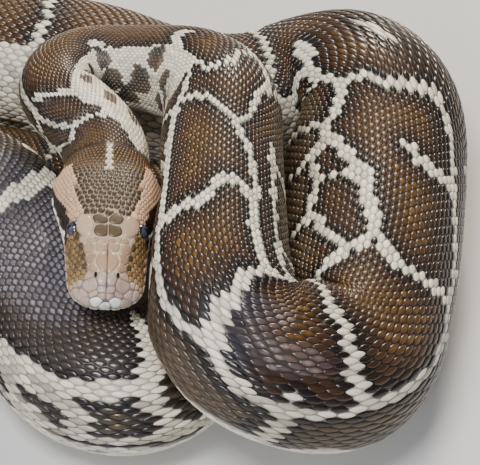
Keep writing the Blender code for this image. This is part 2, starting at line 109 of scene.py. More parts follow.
# Station from the nape (0) to the snout (1), then in centimetres: half width of the lip and of the
# crown, height of the crown's middle and of its edge over the mouth line, depth of the lower jaw.
HEAD_ROWS = (
    (0.15, 3.80, 2.62, 2.95, 2.35, 2.20),
    (0.25, 3.74, 2.62, 2.96, 2.36, 2.05),
    (0.40, 3.28, 2.32, 2.86, 2.34, 1.80),
    (0.52, 2.92, 2.12, 2.78, 2.34, 1.60),
    (0.62, 2.78, 1.88, 2.62, 2.20, 1.45),
    (0.72, 2.70, 1.50, 2.38, 1.88, 1.32),
    (0.82, 2.60, 1.30, 2.18, 1.66, 1.22),
    (0.92, 2.45, 1.14, 2.02, 1.52, 1.12),
    (1.00, 2.34, 1.05, 1.92, 1.44, 1.05),
)
NAPE_CENTRE_RISE = 0.25        # centimetres of the neck's axis over the mouth line
NAPE_BLEND = 0.16              # station where the neck's section has turned into the head's own
NAPE_ANGLES = (0, 24, 48, 70, 86, 96, 112, 145, 180)    # degrees of the keys on the neck's section
LIP_RISE = 0.42                # centimetres of key 4, the lip, over the mouth line
CROWN_ROUND = (0.56, 0.10)     # key 1: share of the crown's half width, and of its fall to the edge
CHEEK = (0.60, 0.48)           # key 3: share of the way from the crown's edge to the lip
LIP_TUCK = 0.955               # key 5, the mouth line: share of the lip's half width
JAW_SIDE = (0.93, 0.34)        # key 6: share of the lip's half width, and of the jaw's depth
JAW_UNDER = (0.60, 0.90)       # key 7: the same, further under
SNOUT_ROUND_START = 0.86       # station where the sections start to close, and how roundly they do
SNOUT_ROUND_POWER = 2.2
SNOUT_PIVOT = 0.40             # the height that the upper part closes on, by the crown's
SNOUT_OVERHANG = 0.020         # how much shorter the jaw is than the snout
MOUTH_SAG = 0.16               # centimetres that the mouth line hangs down, from its corner's station on
MOUTH_CORNER = 0.20
HEAD_BALLS = (0.10, 0.20, 0.30, 0.40, 0.50, 0.60, 0.70, 0.80, 0.87)    # their stations
MOUTH_KEY = 5
CHIN_KEY = 8
EYE_RADIUS = 0.0058
EYE_STATION = 0.550
EYE_KEY = 2.66
EYE_SINK = 0.0031              # how far the eyeball's middle lies in
EYE_STATION_PROBE = 0.02       # steps each way that give the surface's slope at the eye
EYE_KEY_PROBE = 0.1

# ---- the coat -----------------------------------------------------------------------------------
SKIN_DEPTH = 0.0013            # the skin lies this far inside the solids, and the scales fill the rest
THIN_TAIL = (0.35, 3.25, 0.5)  # least share of that depth, where it is reached, and metres to a whole share
FLANK = math.radians(132.0)    # the belly plates start this far round from the back's midline
BELLY_COLUMNS = 14             # steps across the belly plates
OUTLINE_POINTS = 12
OUTLINE_POWER = 1.70           # a body scale's outline, between a rhombus (1) and an oval (2)

# Stretches of body scales: start and end in metres from the nape, count of rows round the back and
# flanks, and how long a scale is by its width.
SCALE_ZONES = (
    (0.003, 0.20, 64, 1.95), (0.20, 0.45, 64, 1.75), (0.45, 0.90, 66, 1.75), (0.90, 1.30, 64, 1.95),
    (1.30, 1.70, 62, 1.95), (1.70, 2.08, 58, 1.90), (2.08, 2.45, 60, 1.50), (2.45, 2.84, 42, 1.95),
    (2.84, 3.246, 24, 1.95),
)
VENT = 2.840
TIP_LENGTH = 0.016             # the tail narrows to a blunt point over this
TIP_BLUNT = 0.985
GRID_END = 1.001               # keeps a place at a grid's end inside its last cell


def smooth_step(x):
    x = np.clip(x, 0.0, 1.0)
    return x * x * (3 - 2 * x)


def ramp(value, start, over):
    """From nought at the start to one, smoothly, over the distance given."""
    return smooth_step((value - start) / over)


def unit(vectors):
    return vectors / np.maximum(np.linalg.norm(vectors, axis=-1, keepdims=True), 1e-12)


def arc_points(centre, radii, turn, heights):
    """Points along an oval or a spiral arc, with the radius and the height changing evenly."""
    first, last, count = turn
    points = []
    for step in range(count):
        share = step / (count - 1)
        angle = math.radians(first + (last - first) * share)
        radius_x, radius_y = radii(share)
        x = centre[0] + radius_x * math.cos(angle)
        y = centre[1] + radius_y * math.sin(angle)
        points.append((x, y, heights[0] + (heights[1] - heights[0]) * share))
    return tuple(points)


def route_points():
    """The whole route in metres, from the nape to the tip of the tail."""
    loop = arc_points(SIDE_LOOP_CENTRE, lambda share: SIDE_LOOP_RADII, SIDE_LOOP_TURN,
                      (SIDE_LOOP_HEIGHT, SIDE_LOOP_HEIGHT))
    turn_in = arc_points(TURN_IN_CENTRE, lambda share: (TURN_IN_RADIUS, TURN_IN_RADIUS), TURN_IN_TURN,
                         (TURN_IN_HEIGHT, TURN_IN_HEIGHT))

    def spiral(share):
        outer, inner = TAIL_SPIRAL_RADII
        return outer[0] + (inner[0] - outer[0]) * share, outer[1] + (inner[1] - outer[1]) * share

    tail = arc_points(TAIL_SPIRAL_CENTRE, spiral, TAIL_SPIRAL_TURN, TAIL_SPIRAL_HEIGHTS)
    rows = (NECK_ARCH + FRONT_LIMB + FRONT_BEND + REAR_LIMB + REAR_BEND + BACK_LENGTH + loop
            + turn_in + LEFT_LIMB + UNDER_LIMB + TAIL_WAY_OUT + tail)
    return np.array(rows) * CM + COIL_SHIFT


def spline_slopes(knots, values):
    """Second derivatives of the natural cubic spline through values at knots."""
    count = len(knots)
    step = np.diff(knots)
    matrix = np.eye(count)
    right = np.zeros_like(values)
    for i in range(1, count - 1):
        matrix[i, i - 1] = step[i - 1] / 6
        matrix[i, i] = (step[i - 1] + step[i]) / 3
        matrix[i, i + 1] = step[i] / 6
        right[i] = (values[i + 1] - values[i]) / step[i] - (values[i] - values[i - 1]) / step[i - 1]
    return np.linalg.solve(matrix, right)


def spline(knots, values, at):
    """The natural cubic spline through values at knots, read at the places given."""
    bend = spline_slopes(knots, values)
    cell = np.clip(np.searchsorted(knots, at, side="right") - 1, 0, len(knots) - 2)
    width = (knots[cell + 1] - knots[cell])[:, None]
    near = (knots[cell + 1] - at)[:, None] / width
    far = 1 - near
    curve = ((near ** 3 - near) * bend[cell] + (far ** 3 - far) * bend[cell + 1]) * width ** 2 / 6
    return near * values[cell] + far * values[cell + 1] + curve


def monotone(table, at):
    """A smooth curve through (place, value) rows that never overshoots them."""
    knots, values = np.array(table, float).T
    step = np.diff(knots)
    rise = np.diff(values) / step
    slope = np.zeros_like(values)
    for i in range(1, len(knots) - 1):
        if rise[i - 1] * rise[i] > 0:
            before = 2 * step[i] + step[i - 1]
            after = step[i] + 2 * step[i - 1]
            slope[i] = (before + after) / (before / rise[i - 1] + after / rise[i])
    slope[0] = rise[0]
    slope[-1] = rise[-1]
    at = np.clip(at, knots[0], knots[-1])
    cell = np.clip(np.searchsorted(knots, at, side="right") - 1, 0, len(knots) - 2)
    x = (at - knots[cell]) / step[cell]
    start = (1 + 2 * x) * (1 - x) ** 2 * values[cell] + x * (1 - x) ** 2 * step[cell] * slope[cell]
    end = x * x * (3 - 2 * x) * values[cell + 1] + x * x * (x - 1) * step[cell] * slope[cell + 1]
    return start + end


def girth_at(places):
    """The body's free radius at distances from the nape."""
    return monotone(GIRTH, places)


def read_grid(grid, rows, columns, part_row, part_column):
    """A grid's values between its points, from the numbers of the rows and columns round each."""
    (low, high), (left, right) = rows, columns
    near = grid[low, left] * (1 - part_column) + grid[low, right] * part_column
    far = grid[high, left] * (1 - part_column) + grid[high, right] * part_column
    return near * (1 - part_row) + far * part_row


# ---- the head's surface -------------------------------------------------------------------------
def mouth_height(station):
    """Height of the mouth line over its level at the snout and at the nape, in centimetres."""
    share = (station - MOUTH_CORNER) / (1 - MOUTH_CORNER)
    return -MOUTH_SAG * math.sin(math.pi * min(max(share, 0.0), 1.0))


def nape_keys():
    """Key points of the neck's own oval section, from the top round one side to the bottom."""
    wide = GIRTH[0][1] / CM * SECTION_WIDE
    tall = GIRTH[0][1] / CM * SECTION_TALL
    angles = [math.radians(a) for a in NAPE_ANGLES]
    return np.array([(wide * math.sin(a), NAPE_CENTRE_RISE + tall * math.cos(a)) for a in angles])


def head_keys(station):
    """Key points of one side of a head section, from the crown's middle to the chin's middle."""
    table = np.array(HEAD_ROWS)
    sizes = [monotone(table[:, (0, k)], np.array([station]))[0] for k in range(1, table.shape[1])]
    lip, crown, top, edge, jaw = sizes
    mouth = mouth_height(station)
    keys = np.array((
        (0.0, top),
        (CROWN_ROUND[0] * crown, top - CROWN_ROUND[1] * (top - edge)),
        (crown, edge),
        ((1 - CHEEK[0]) * crown + CHEEK[0] * lip, (1 - CHEEK[1]) * edge + CHEEK[1] * LIP_RISE),
        (lip, LIP_RISE + mouth),
        (LIP_TUCK * lip, mouth),
        (JAW_SIDE[0] * lip, -JAW_SIDE[1] * jaw + mouth),
        (JAW_UNDER[0] * lip, -JAW_UNDER[1] * jaw),
        (0.0, -jaw),
    ))
    blend = smooth_step(station / NAPE_BLEND)
    keys = nape_keys() * (1 - blend) + keys * blend
    share = max(0.0, (station - SNOUT_ROUND_START) / (1 - SNOUT_ROUND_START))
    close = max(0.0, 1 - share ** SNOUT_ROUND_POWER) ** (1 / SNOUT_ROUND_POWER)
    pivot = SNOUT_PIVOT * top
    keys[:, 0] *= close
    over = keys[:, 1] > pivot
    under = keys[:, 1] < mouth
    keys[over, 1] = pivot + (keys[over, 1] - pivot) * close
    keys[under, 1] = mouth + (keys[under, 1] - mouth) * close
    return keys


def head_row(station, keys_at):
    """Points of one head section in the head's own frame, in metres; keys run 0 to 8 down one side."""
    keys = head_keys(station)
    mirrored = keys[1:-1][::-1] * np.array((-1, 1))
    ring = np.concatenate([mirrored[-2:], keys, mirrored, keys[:3]])
    flat = spline(np.arange(len(ring), dtype=float) - 2, ring, np.abs(keys_at))
    length = HEAD_LENGTH * (1 - SNOUT_OVERHANG * smooth_step(np.abs(keys_at) - MOUTH_KEY) * station)
    return np.stack([flat[:, 0] * CM * np.sign(keys_at), station * length, flat[:, 1] * CM], -1)


def head_axes(route):
    """Axes of the head at the nape: +X the snake's right, +Y towards the snout, +Z the crown."""
    forward = Vector(-route.tangent[0])
    up = Vector(route.up[0])
    left = up.cross(forward)
    crown = up * math.cos(HEAD_ROLL) + left * math.sin(HEAD_ROLL)
    right = forward.cross(crown)
    turn = Matrix((right, forward, crown)).transposed().to_4x4()
    origin = Vector(route.centre[0]) - crown * NAPE_CENTRE_RISE * CM
    return np.array(Matrix.Translation(origin) @ turn)


def head_balls(axes):
    """Two rows of balls that fill the head's sections: the coils rest against them."""
    centres, radii, places = [], [], []
    for station in HEAD_BALLS:
        keys = head_keys(station)
        radius = (keys[0, 1] - keys[-1, 1]) / 2
        reach = max(keys[:, 0].max() - radius, 0.0)
        for side in (-1, 1):
            at = np.array((side * reach * CM, station * HEAD_LENGTH, (keys[-1, 1] + radius) * CM))
            centres.append(axes[:3, :3] @ at + axes[:3, 3])
            radii.append(radius * CM)
            places.append(-station * HEAD_LENGTH)
    return np.array(centres), np.array(radii), np.array(places)


# ---- the body's surface -------------------------------------------------------------------------
class Route:
    """Even samples along the body's axis, each with its directions and girth."""

    STEP = 0.005

    def __init__(self):
        points = route_points()
        legs = np.linalg.norm(np.diff(points, axis=0), axis=1)
        knots = np.concatenate([[0.0], np.cumsum(legs ** ROUTE_EVENNESS)])
        dense = spline(knots, points, np.linspace(0, knots[-1], ROUTE_SAMPLES))
        run = np.concatenate([[0.0], np.cumsum(np.linalg.norm(np.diff(dense, axis=0), axis=1))])
        self.length = run[-1]
        self.place = np.linspace(0, self.length, int(round(self.length / self.STEP)) + 1)
        self.centre = np.stack([np.interp(self.place, run, dense[:, k]) for k in range(3)], -1)
        self.tangent = unit(np.gradient(self.centre, axis=0))
        self.up = unit(np.array([0, 0, 1.0]) - self.tangent * self.tangent[:, 2:3])
        self.left = np.cross(self.tangent, self.up)
        self.radius = girth_at(self.place)

    def at(self, places):
        """Centre, up, left and radius at the places given, each interpolated."""
        read = []
        for values in (self.centre, self.up, self.left, self.radius[:, None]):
            columns = [np.interp(places, self.place, values[:, k]) for k in range(values.shape[1])]
            read.append(np.stack(columns, -1))
        return read


def bend_limit(route, places, centre, radius, out):
    """How far flesh can reach inside a bend before it meets flesh from further round the bend."""
    window = int(NEIGHBOUR_SPAN * 2 * route.radius.max() / route.STEP) + 1
    nearest = np.round(places / route.place[1]).astype(int)
    index = np.clip(nearest[:, None] + np.arange(-window, window + 1)[None], 0, len(route.place) - 1)
    towards = route.centre[index] - centre[:, None]
    apart = np.abs(places[:, None] - route.place[index])
    same_bend = (apart < NEIGHBOUR_SPAN * (radius + route.radius[index])) & (apart > BEND_NEAREST)
    facing = np.einsum("ijk,imk->ijm", out, towards)
    halfway = (towards ** 2).sum(-1)[:, None] / 2
    meets = same_bend[:, None] & (facing > FACING_LEAST)
    limit = np.where(meets, halfway / np.maximum(facing, FACING_LEAST), NO_LIMIT)
    return BEND_FILL * limit.min(-1)


def coil_limit(around, places, centre, radius, out, reach):
    """How far each point can reach before it meets another coil's shared face, or the head."""
    others, girths, stations, firm = around
    surface = centre[:, None] + out * reach[:, :, None]
    flat = surface.reshape(-1, 3)
    own = (others ** 2).sum(-1) - girths ** 2
    power = (flat ** 2).sum(-1)[:, None] - 2 * flat @ others.T + own[None]
    power = power.reshape(surface.shape[:2] + (len(girths),))
    near = np.abs(places[:, None] - stations[None]) < NEIGHBOUR_SPAN * (radius + girths[None])
    power = np.where(near[:, None, :], NO_LIMIT, power)
    nearest = power.argmin(-1)
    towards = others[nearest] - centre[:, None]
    gap = np.linalg.norm(towards, axis=-1)
    shared = (gap ** 2 + radius ** 2 - girths[nearest] ** 2) / 2
    share = np.where(firm[nearest], gap * (gap - girths[nearest]), shared)
    facing = (out * towards).sum(-1)
    reach = share / np.maximum(facing, FACING_LEAST) - COIL_GAP
    return np.where(facing > FACING_LEAST, reach, NO_LIMIT)


def soften(grid, rounds):
    """Averages a grid with its neighbours along both ways; the second way closes on itself."""
    for _ in range(rounds):
        grid = (np.roll(grid, 1, 1) + 2 * grid + np.roll(grid, -1, 1)) / 4
        inner = (grid[:-2] + 2 * grid[1:-1] + grid[2:]) / 4
        grid = np.concatenate([grid[:1], inner, grid[-1:]])
    return grid


class Body:
    """The body's surface as a grid over distance from the nape and angle from the back's midline."""

    STEP = 0.003
    SIDES = 120
    CHUNK = 60                 # rows worked out at a time, to keep the arrays small
    SMOOTHING = 2              # rounds of softening for the reach and for the normals
    OUTWARD = 0.3              # how much of the plain way out from the axis goes into a normal

    def __init__(self, route, balls):
        self.route = route
        self.place = np.linspace(0, route.length, int(round(route.length / self.STEP)) + 1)
        centre, up, left, _ = route.at(self.place)
        rolls = np.interp(self.place, *np.array(ROLL, float).T)
        angle = np.linspace(-math.pi, math.pi, self.SIDES, endpoint=False)
        turn = angle[None] + np.radians(rolls)[:, None]
        out = np.sin(turn)[..., None] * left[:, None] + np.cos(turn)[..., None] * up[:, None]
        around = self.surroundings(balls)
        chunks = [slice(i, i + self.CHUNK) for i in range(0, len(self.place), self.CHUNK)]
        reach = np.concatenate([self.reach(around, self.place[c], turn[c], out[c]) for c in chunks])
        reach = soften(reach, self.SMOOTHING)
        tip = np.clip((self.place - route.length + TIP_LENGTH) / TIP_LENGTH, 0, TIP_BLUNT)
        reach *= np.sqrt(1 - tip ** 2)[:, None]
        self.points = centre[:, None] + out * reach[..., None]
        self.points[..., 2] = np.maximum(self.points[..., 2], 0.0)
        self.normal = self.ways_out(out)

    def surroundings(self, balls):
        """Centres, girths and places of all that the body can meet, and which of it is firm."""
        own = (self.route.centre, self.route.radius, self.route.place)
        count = len(self.route.place)
        firm = np.arange(count + len(balls[1])) >= count
        return tuple(np.concatenate(pair) for pair in zip(own, balls)) + (firm,)

    def ways_out(self, out):
        """The surface's normals, turned outward and softened."""
        along = np.gradient(self.points, axis=0)
        round_it = np.roll(self.points, -1, 1) - np.roll(self.points, 1, 1)
        normal = unit(np.cross(round_it, along))
        normal *= np.sign((normal * out).sum(-1))[..., None]
        return unit(soften(unit(normal) + self.OUTWARD * out, self.SMOOTHING))

    def reach(self, around, places, turn, out):
        """How far the flesh goes from the axis: free oval sections, pressed by bends and coils."""
        centre, _, _, radius = self.route.at(places)
        oval = np.sqrt((np.sin(turn) / SECTION_WIDE) ** 2 + (np.cos(turn) / SECTION_TALL) ** 2)
        free = radius / oval
        bend = bend_limit(self.route, places, centre, radius, out)
        limit = bend
        for _ in range(PRESS_ROUNDS):
            reach = np.minimum(free, limit)
            limit = np.minimum(bend, coil_limit(around, places, centre, radius, out, reach))
        return (free ** -PRESS_SHARPNESS + limit ** -PRESS_SHARPNESS) ** (-1 / PRESS_SHARPNESS)

    def at(self, places, angles, heights):
        """Points over the surface, by distance from the nape, angle in radians and height in metres."""
        row = np.clip(places / self.place[1], 0, len(self.place) - GRID_END)
        column = (angles + math.pi) / (2 * math.pi) * self.SIDES
        low = row.astype(int)
        before = np.floor(column).astype(int)
        rows = (low, low + 1)
        columns = (before % self.SIDES, (before + 1) % self.SIDES)
        parts = ((row - low)[..., None], (column - before)[..., None])
        heights = heights - fold_depth(places, angles)
        normal = unit(read_grid(self.normal, rows, columns, *parts))
        points = read_grid(self.points, rows, columns, *parts) + normal * heights[..., None]
        points[..., 2] = np.maximum(points[..., 2], 0.0)
        return points


# Folds of the skin inside the front bend: depth and half width in millimetres, then points in
# centimetres from the nape and degrees from the back's midline.
FOLDS = (
    (4.2, 4.8, (42.4, 19), (43, 26), (43.8, 33), (44.8, 39), (46, 42), (47.2, 42), (48.2, 36)),
    (1.6, 5.0, (42.4, -22), (43.6, -14), (45, -8), (46.2, -3)),
    (1.2, 5.0, (48.6, -40), (49.6, -22), (51, -4), (52, 12)),
)
FOLD_REACH = (0.41, 0.54)      # the folds stay between these places
MM_PER_M = 1000


def line_rows(lines):
    """Segments of written lines: start and end in metres and radians, half width in metres."""
    rows = []
    for half, *spots in lines:
        for first, second in zip(spots[:-1], spots[1:]):
            start = (first[0] * CM, math.radians(first[1]))
            end = (second[0] * CM, math.radians(second[1]))
            rows.append(start + end + (half / MM_PER_M,))
    return rows


def segment_distance(place, angle, girth, rows):
    """Distance in metres over the skin from places to segments; rows hold the segments' columns."""
    start = np.stack([rows[0] - place, (rows[1] - angle) * girth], -1)
    end = np.stack([rows[2] - place, (rows[3] - angle) * girth], -1)
    step = end - start
    share = -(start * step).sum(-1) / np.maximum((step ** 2).sum(-1), 1e-12)
    closest = start + step * np.clip(share, 0, 1)[..., None]
    return np.linalg.norm(closest, axis=-1)


def fold_depth(places, angles):
    """How deep the skin's folds press in at each place."""
    depth = np.zeros(np.shape(places))
    near = (places > FOLD_REACH[0]) & (places < FOLD_REACH[1])
    if not near.any():
        return depth
    place, angle = places[near][:, None], angles[near][:, None]
    girth = girth_at(place)
    total = np.zeros(len(place))
    for deep, half, *spots in FOLDS:
        rows = np.array(line_rows([(half, *spots)])).T
        far = segment_distance(place, angle, girth, rows).min(-1)
        total = np.maximum(total, deep / MM_PER_M * np.exp(-(far * MM_PER_M / half) ** 2))
    depth[near] = total
    return depth


# ---- markings, painted shade and painted sheen --------------------------------------------------
def srgb(red, green, blue):
    """A linear colour from the usual 0 to 255 values."""
    value = np.array((red, green, blue)) / 255
    return np.where(value <= 0.04045, value / 12.92, ((value + 0.055) / 1.055) ** 2.4)


CREAM = srgb(224, 212, 190)
BELLY = srgb(226, 216, 196)
FLANK_PALE = srgb(188, 176, 152)
BLOTCH = srgb(54, 33, 17)
# Near-black of a saddle's rim, also the colour of the painted shade
BLOTCH_EDGE_AND_SHADE = srgb(24, 15, 10)
FLANK_DARK = srgb(66, 52, 34)
GOLD = srgb(166, 114, 48)
SLATE = srgb(56, 47, 42)
# Colour of the painted bluish sheen, a painted reflection of the lights
PAINTED_SHEEN = srgb(150, 148, 162)
OLIVE = srgb(78, 54, 26)
SLATE_SHEEN_STRETCH = (2.08, 2.37, 0.12)     # start, end and soft border of the greyer saddles, whose middles also get the painted bluish sheen
PAINTED_SHADE_STRETCH = (0.55, 0.86, 0.1)      # the same, for the painted shade that darkens the saddles on the snake's left
# Where a bluish sheen, a painted reflection of the lights, is laid into the scales' colour: its middle
# in metres and degrees, half length in metres, half spread in degrees, and how much of it.
PAINTED_SHEENS = ((2.21, 2.0, 0.085, 40.0, 1.0), (0.432, 2.0, 0.016, 15.0, 0.5), (0.445, 30.0, 0.026, 13.0, 0.6))
# Where colours start, and over how much they come in: degrees from the back, and metres from a line.
FLANK_START = (54, 8)
FLECKS_START = (46, 16)
BELLY_START = (100, 6)
# next: where the painted shade on the saddles comes in
PAINTED_SHADE_START = (4, 20)
BLACK_RIM = (0.003, 0.004)
OLIVE_CORE = (0.008, 0.018)
GOLD_CORE = (0.006, 0.016)
EDGE_WAVER = (0.0009, 420)             # how far a marking's edge wavers in metres, and the wave's pace
BELLY_WAVER = (7, 160)                 # the same for the belly's edge, in degrees
TONE_SPREAD = 0.13                     # spread of the scales' brightness
STRAY_DARK = (0.05, 130, 0.7)          # stray dark scales low down: how many, up to where, and how dark
FLECK_DARK = 0.62                      # the darkest flecks low on the flanks
UNEVEN = 2.2                           # power that makes few scales strong and most of them weak
RIM_SHADES = (0.62, 0.60)              # a scale's rim by its tone, on pale and on dark ground
GOLD_SHARES = (0.08, 0.62)             # least gold in a dark scale's middle, and how much more at most

# Pale lines between the dark saddles, over the front of the body and the near loop. Each is a half
# width in millimetres, then points: centimetres from the nape, and degrees from the back's midline.
# The snake's right is negative.
NECK_LINES = (
    (1.9, (7.6, -70), (7.4, -58), (7, -44), (6.6, -32), (6.2, -18), (5.4, -12), (4.6, -6), (3.4, 8),
     (2.6, 16), (1.8, 26), (1, 34), (0.4, 46)),
    (1.9, (7.6, -70), (6.2, -74), (5, -66), (3.8, -50), (3.4, -36), (3.4, -16), (3, -2), (3.2, 9)),
    (1.8, (3.6, -48), (2.2, -54), (2.6, -68), (3.4, -90), (4.6, -108)),
    (1.9, (7.6, -70), (6.6, -84), (6.2, -100), (5, -110)),
    (2.2, (5.8, -12), (6.2, 2), (7.4, 26), (8.8, 35), (10.2, 39), (12.6, 32), (14.2, 27), (17, 23),
     (18.4, 21), (20.2, 15)),
    (3.2, (12.4, 14), (13.4, 19)),
    (4.0, (19.5, 3), (19.9, -12)), (2.6, (20.2, 15), (19.5, 3)),
    (2.6, (8, -72), (13, -68), (17, -60), (20, -50), (23, -54), (25, -53)),
    (2.2, (20.2, 14), (21.4, 26), (22.6, 25), (23.8, 20), (24.2, 14), (24.2, -8), (23.4, -24), (23, -56)),
    (2.6, (22.6, 26), (24.5, 40), (26.6, 46)),
    (2.6, (24.6, -54), (26.2, -36), (27.4, -34), (28.6, -24), (29.2, -17)),
)
LIMB_LINES = (
    (3.6, (27, 48), (30, 51), (34, 50), (37, 51), (39, 56), (41, 52), (43, 44), (43.5, 52), (44.5, 64),
     (46, 67), (48, 62), (50, 54), (52, 58), (54, 57), (56, 51), (60, 47), (64, 39), (67, 35), (71, 34),
     (73, 31)),
    (2.8, (26.6, 46), (26.6, 26), (27, 10), (28, -5), (29, -15), (30.5, -25), (32, -32), (34, -37)),
    (3.9, (37, 48), (36, 25), (36, 12), (35, 3), (34, -8), (34, -19), (35, -30)),
    (3.6, (34, -37), (36, -32), (38, -32), (40, -33), (41.5, -36)),
    (3.0, (30, -58), (34, -56), (38, -56), (42, -50)),
    (3.8, (41.5, -38), (41, -27), (41, -12), (42, 5), (42, 17), (42.5, 29), (43, 42)),
    (3.9, (46, -58), (46.8, -42), (47, -30), (47.2, -11), (48, 6), (48, 19), (48.3, 32), (49, 52)),
    (3.6, (41.5, -38), (43, -50), (46, -58), (50, -56), (54, -50), (56, -38)),
    (4.4, (56, -38), (57, -29), (58, -18), (57, -8), (56, 1), (56, 13), (56.2, 26), (56.4, 48)),
    (5.2, (58, -18), (60, -23), (62, -29), (64, -28), (65, -38), (67, -46), (68.5, -54), (70, -57)),
    (4.6, (70, -57), (71, -49), (73, -43), (75, -37)),
    (4.0, (77, -48), (75, -38), (75, -23), (74, -7), (74, 3), (74, 14), (74, 25), (73, 32)),
    (6.0, (67.4, -2), (66.4, 6), (66, 17), (66, 35)),
    (5.0, (78.2, 10), (77.5, 13)),
    (3.6, (70, -57), (70.5, -72), (71, -92)),
    (3.6, (68, -56), (67, -66), (66, -74), (66, -90)),
    (3.4, (66.5, -68), (64, -62), (62, -64), (60, -68), (59.5, -82)),
    (3.0, (64, -62), (64, -42), (63, -34)),
    (3.4, (57, -36), (58, -50), (60, -60), (61, -66)),
    (5.0, (86, -50), (82, -46), (79, -44), (77, -47)),
    (5.0, (79, -40), (80, -26), (80.6, -18)),
)
LOOP_LINES = (
    (8.0, (218, 64), (218, 9), (217.7, -6), (217, -22), (216, -45)),
    (6.6, (218, 66), (223, 66), (228, 62), (229.5, 56), (231, 54), (232.5, 50), (234, 43)),
    (5.6, (234.3, -40), (234.3, 7), (234.4, 24), (234.2, 42)),
    (4.0, (234.2, 42), (233.8, 57), (234.4, 72), (234.8, 92)),
    (5.0, (217, -50), (224, -52), (230, -50), (234.3, -48)),
    (5.0, (227, 66), (229, 76), (230.8, 92)), (4.0, (222, 66), (224, 78), (225, 92)),
    (4.6, (221, 94), (226, 92), (230, 93), (233, 92), (237, 96)),
    (4.6, (229, 66), (231.3, 62), (231.8, 72), (231.9, 88)),
)
SADDLE_STRETCHES = ((0.85, 2.08), (2.46, 3.24))      # where the lines are laid by rule
SADDLE_LENGTH = 0.112
FULL_GIRTH = 0.055                     # markings are full size from this radius up
FLANK_LINE = 57.0
CROSS_LINE = (-FLANK_LINE, -34, -12, 12, 34, FLANK_LINE)      # degrees of a line's corners
CROSS_STRAY = (4, 0.0060, 0.010)       # their spread in degrees and metres, and more at the two ends
SADDLE_SPREAD = (0.62, 1.3)            # least and most of a saddle's length
CREAM_HALF = 0.0042                    # a pale line's half width, and the blots' at its ends
CORNER_HALF = 0.0072
CROSS_HALVES = (0.7, 1.25)             # least and most of that half width, across and along a flank
SIDE_HALVES = (0.7, 1.3)
SIDE_SAG = (-16, 4)                    # how far a flank's line hangs between cross lines, in degrees
SIDE_CORNERS = (0.3, 0.7)
BLOT_LENGTH = 0.001
FLANK_LINES = (0.11, 3.2, 0.074)       # first and last place of the lines down the flanks, and their step
FLANK_STEPS = (0.6, 1.45)              # least and most of that step
FLANK_LEVELS = (54, 76, 88, 108)       # degrees of their top, least and most of their middle, and bottom
FLANK_HALVES = (0.0024, 0.0042)        # least and most of their half width above
FLANK_WIDER = (1.4, 2.6)               # and how many times wider they are below
FLANK_LEAN = (0.012, 1.4)              # spread of their lean in metres, and its growth further down
BARE_FLANKS = ((0.58, 0.76), (2.17, 2.36))    # none here: on the snake's right only, and on both sides


def thinness(girths, least):
    """Girths as shares of a full one, no less than the least given."""
    return np.clip(girths / FULL_GIRTH, least, 1.0)


def cross_line(place, thin, chance):
    """Places and angles in degrees of the corners of a pale line across the back."""
    angle_stray, place_stray, end_stray = CROSS_STRAY
    angles = np.array(CROSS_LINE) + chance.normal(0, angle_stray, 6)
    steps = place + chance.normal(0, place_stray, 6) * thin
    steps[[0, 5]] += chance.normal(0, end_stray, 2) * thin
    return steps, angles


def side_line(before, after, side, thin, chance):
    """Segments along one flank from one cross line's end to the next one's, and a blot at the end."""
    sag = chance.uniform(*SIDE_SAG)
    rise = (after[0] - before[0], after[1] - before[1])
    spots = [(before[0] + rise[0] * share, before[1] + rise[1] * share + sag) for share in SIDE_CORNERS]
    spots = [before] + spots + [after]
    half = CREAM_HALF * thin * chance.uniform(*SIDE_HALVES)
    rows = []
    for first, second in zip(spots[:-1], spots[1:]):
        start = (first[0], side * math.radians(first[1]))
        rows.append(start + (second[0], side * math.radians(second[1]), half))
    corner = side * math.radians(after[1])
    rows.append((after[0], corner, after[0] + BLOT_LENGTH, corner, CORNER_HALF * thin))
    return rows


def ruled_saddles():
    """Segments between the saddles where the photo gives no lead: an uneven network."""
    rows = []
    chance = np.random.default_rng(7)
    for start, end in SADDLE_STRETCHES:
        place = start
        before = {-1: (start, FLANK_LINE), 1: (start, FLANK_LINE)}
        while place < end:
            thin = float(thinness(girth_at(np.array([place]))[0], 0.4))
            steps, angles = cross_line(place, thin, chance)
            turns = [math.radians(angle) for angle in angles]
            for i in range(5):
                half = CREAM_HALF * thin * chance.uniform(*CROSS_HALVES)
                rows.append((steps[i], turns[i], steps[i + 1], turns[i + 1], half))
            for side, after in ((-1, (steps[0], -angles[0])), (1, (steps[5], angles[5]))):
                rows += side_line(before[side], after, side, thin, chance)
                before[side] = after
            place += SADDLE_LENGTH * chance.uniform(*SADDLE_SPREAD) * thin
    return rows


def ruled_flanks():
    """Segments down the flanks from the saddles to the belly, wider below like pale wedges."""
    rows = []
    chance = np.random.default_rng(13)
    first, last, gap = FLANK_LINES
    right_only, both = BARE_FLANKS
    for side in (-1, 1):
        place = first
        while place < last:
            thin = float(thinness(girth_at(np.array([place]))[0], 0.3))
            bare = (side < 0 and right_only[0] < place < right_only[1]) or both[0] < place < both[1]
            if not bare:
                lean = chance.normal(0, FLANK_LEAN[0]) * thin
                levels = (FLANK_LEVELS[0], chance.uniform(*FLANK_LEVELS[1:3]), FLANK_LEVELS[3])
                top, middle, bottom = (math.radians(level) for level in levels)
                half = chance.uniform(*FLANK_HALVES) * thin
                low = half * chance.uniform(*FLANK_WIDER)
                end = place + lean * FLANK_LEAN[1]
                rows.append((place, side * top, place + lean, side * middle, half))
                rows.append((place + lean, side * middle, end, side * bottom, low))
            place += gap * chance.uniform(*FLANK_STEPS) * thin
    return rows


WRITTEN_LINES = line_rows(NECK_LINES + LIMB_LINES + LOOP_LINES)
ALL_LINES = np.array(WRITTEN_LINES + ruled_saddles() + ruled_flanks()).T
LINE_CHUNK = 4000                      # places worked out at a time, to keep the arrays small
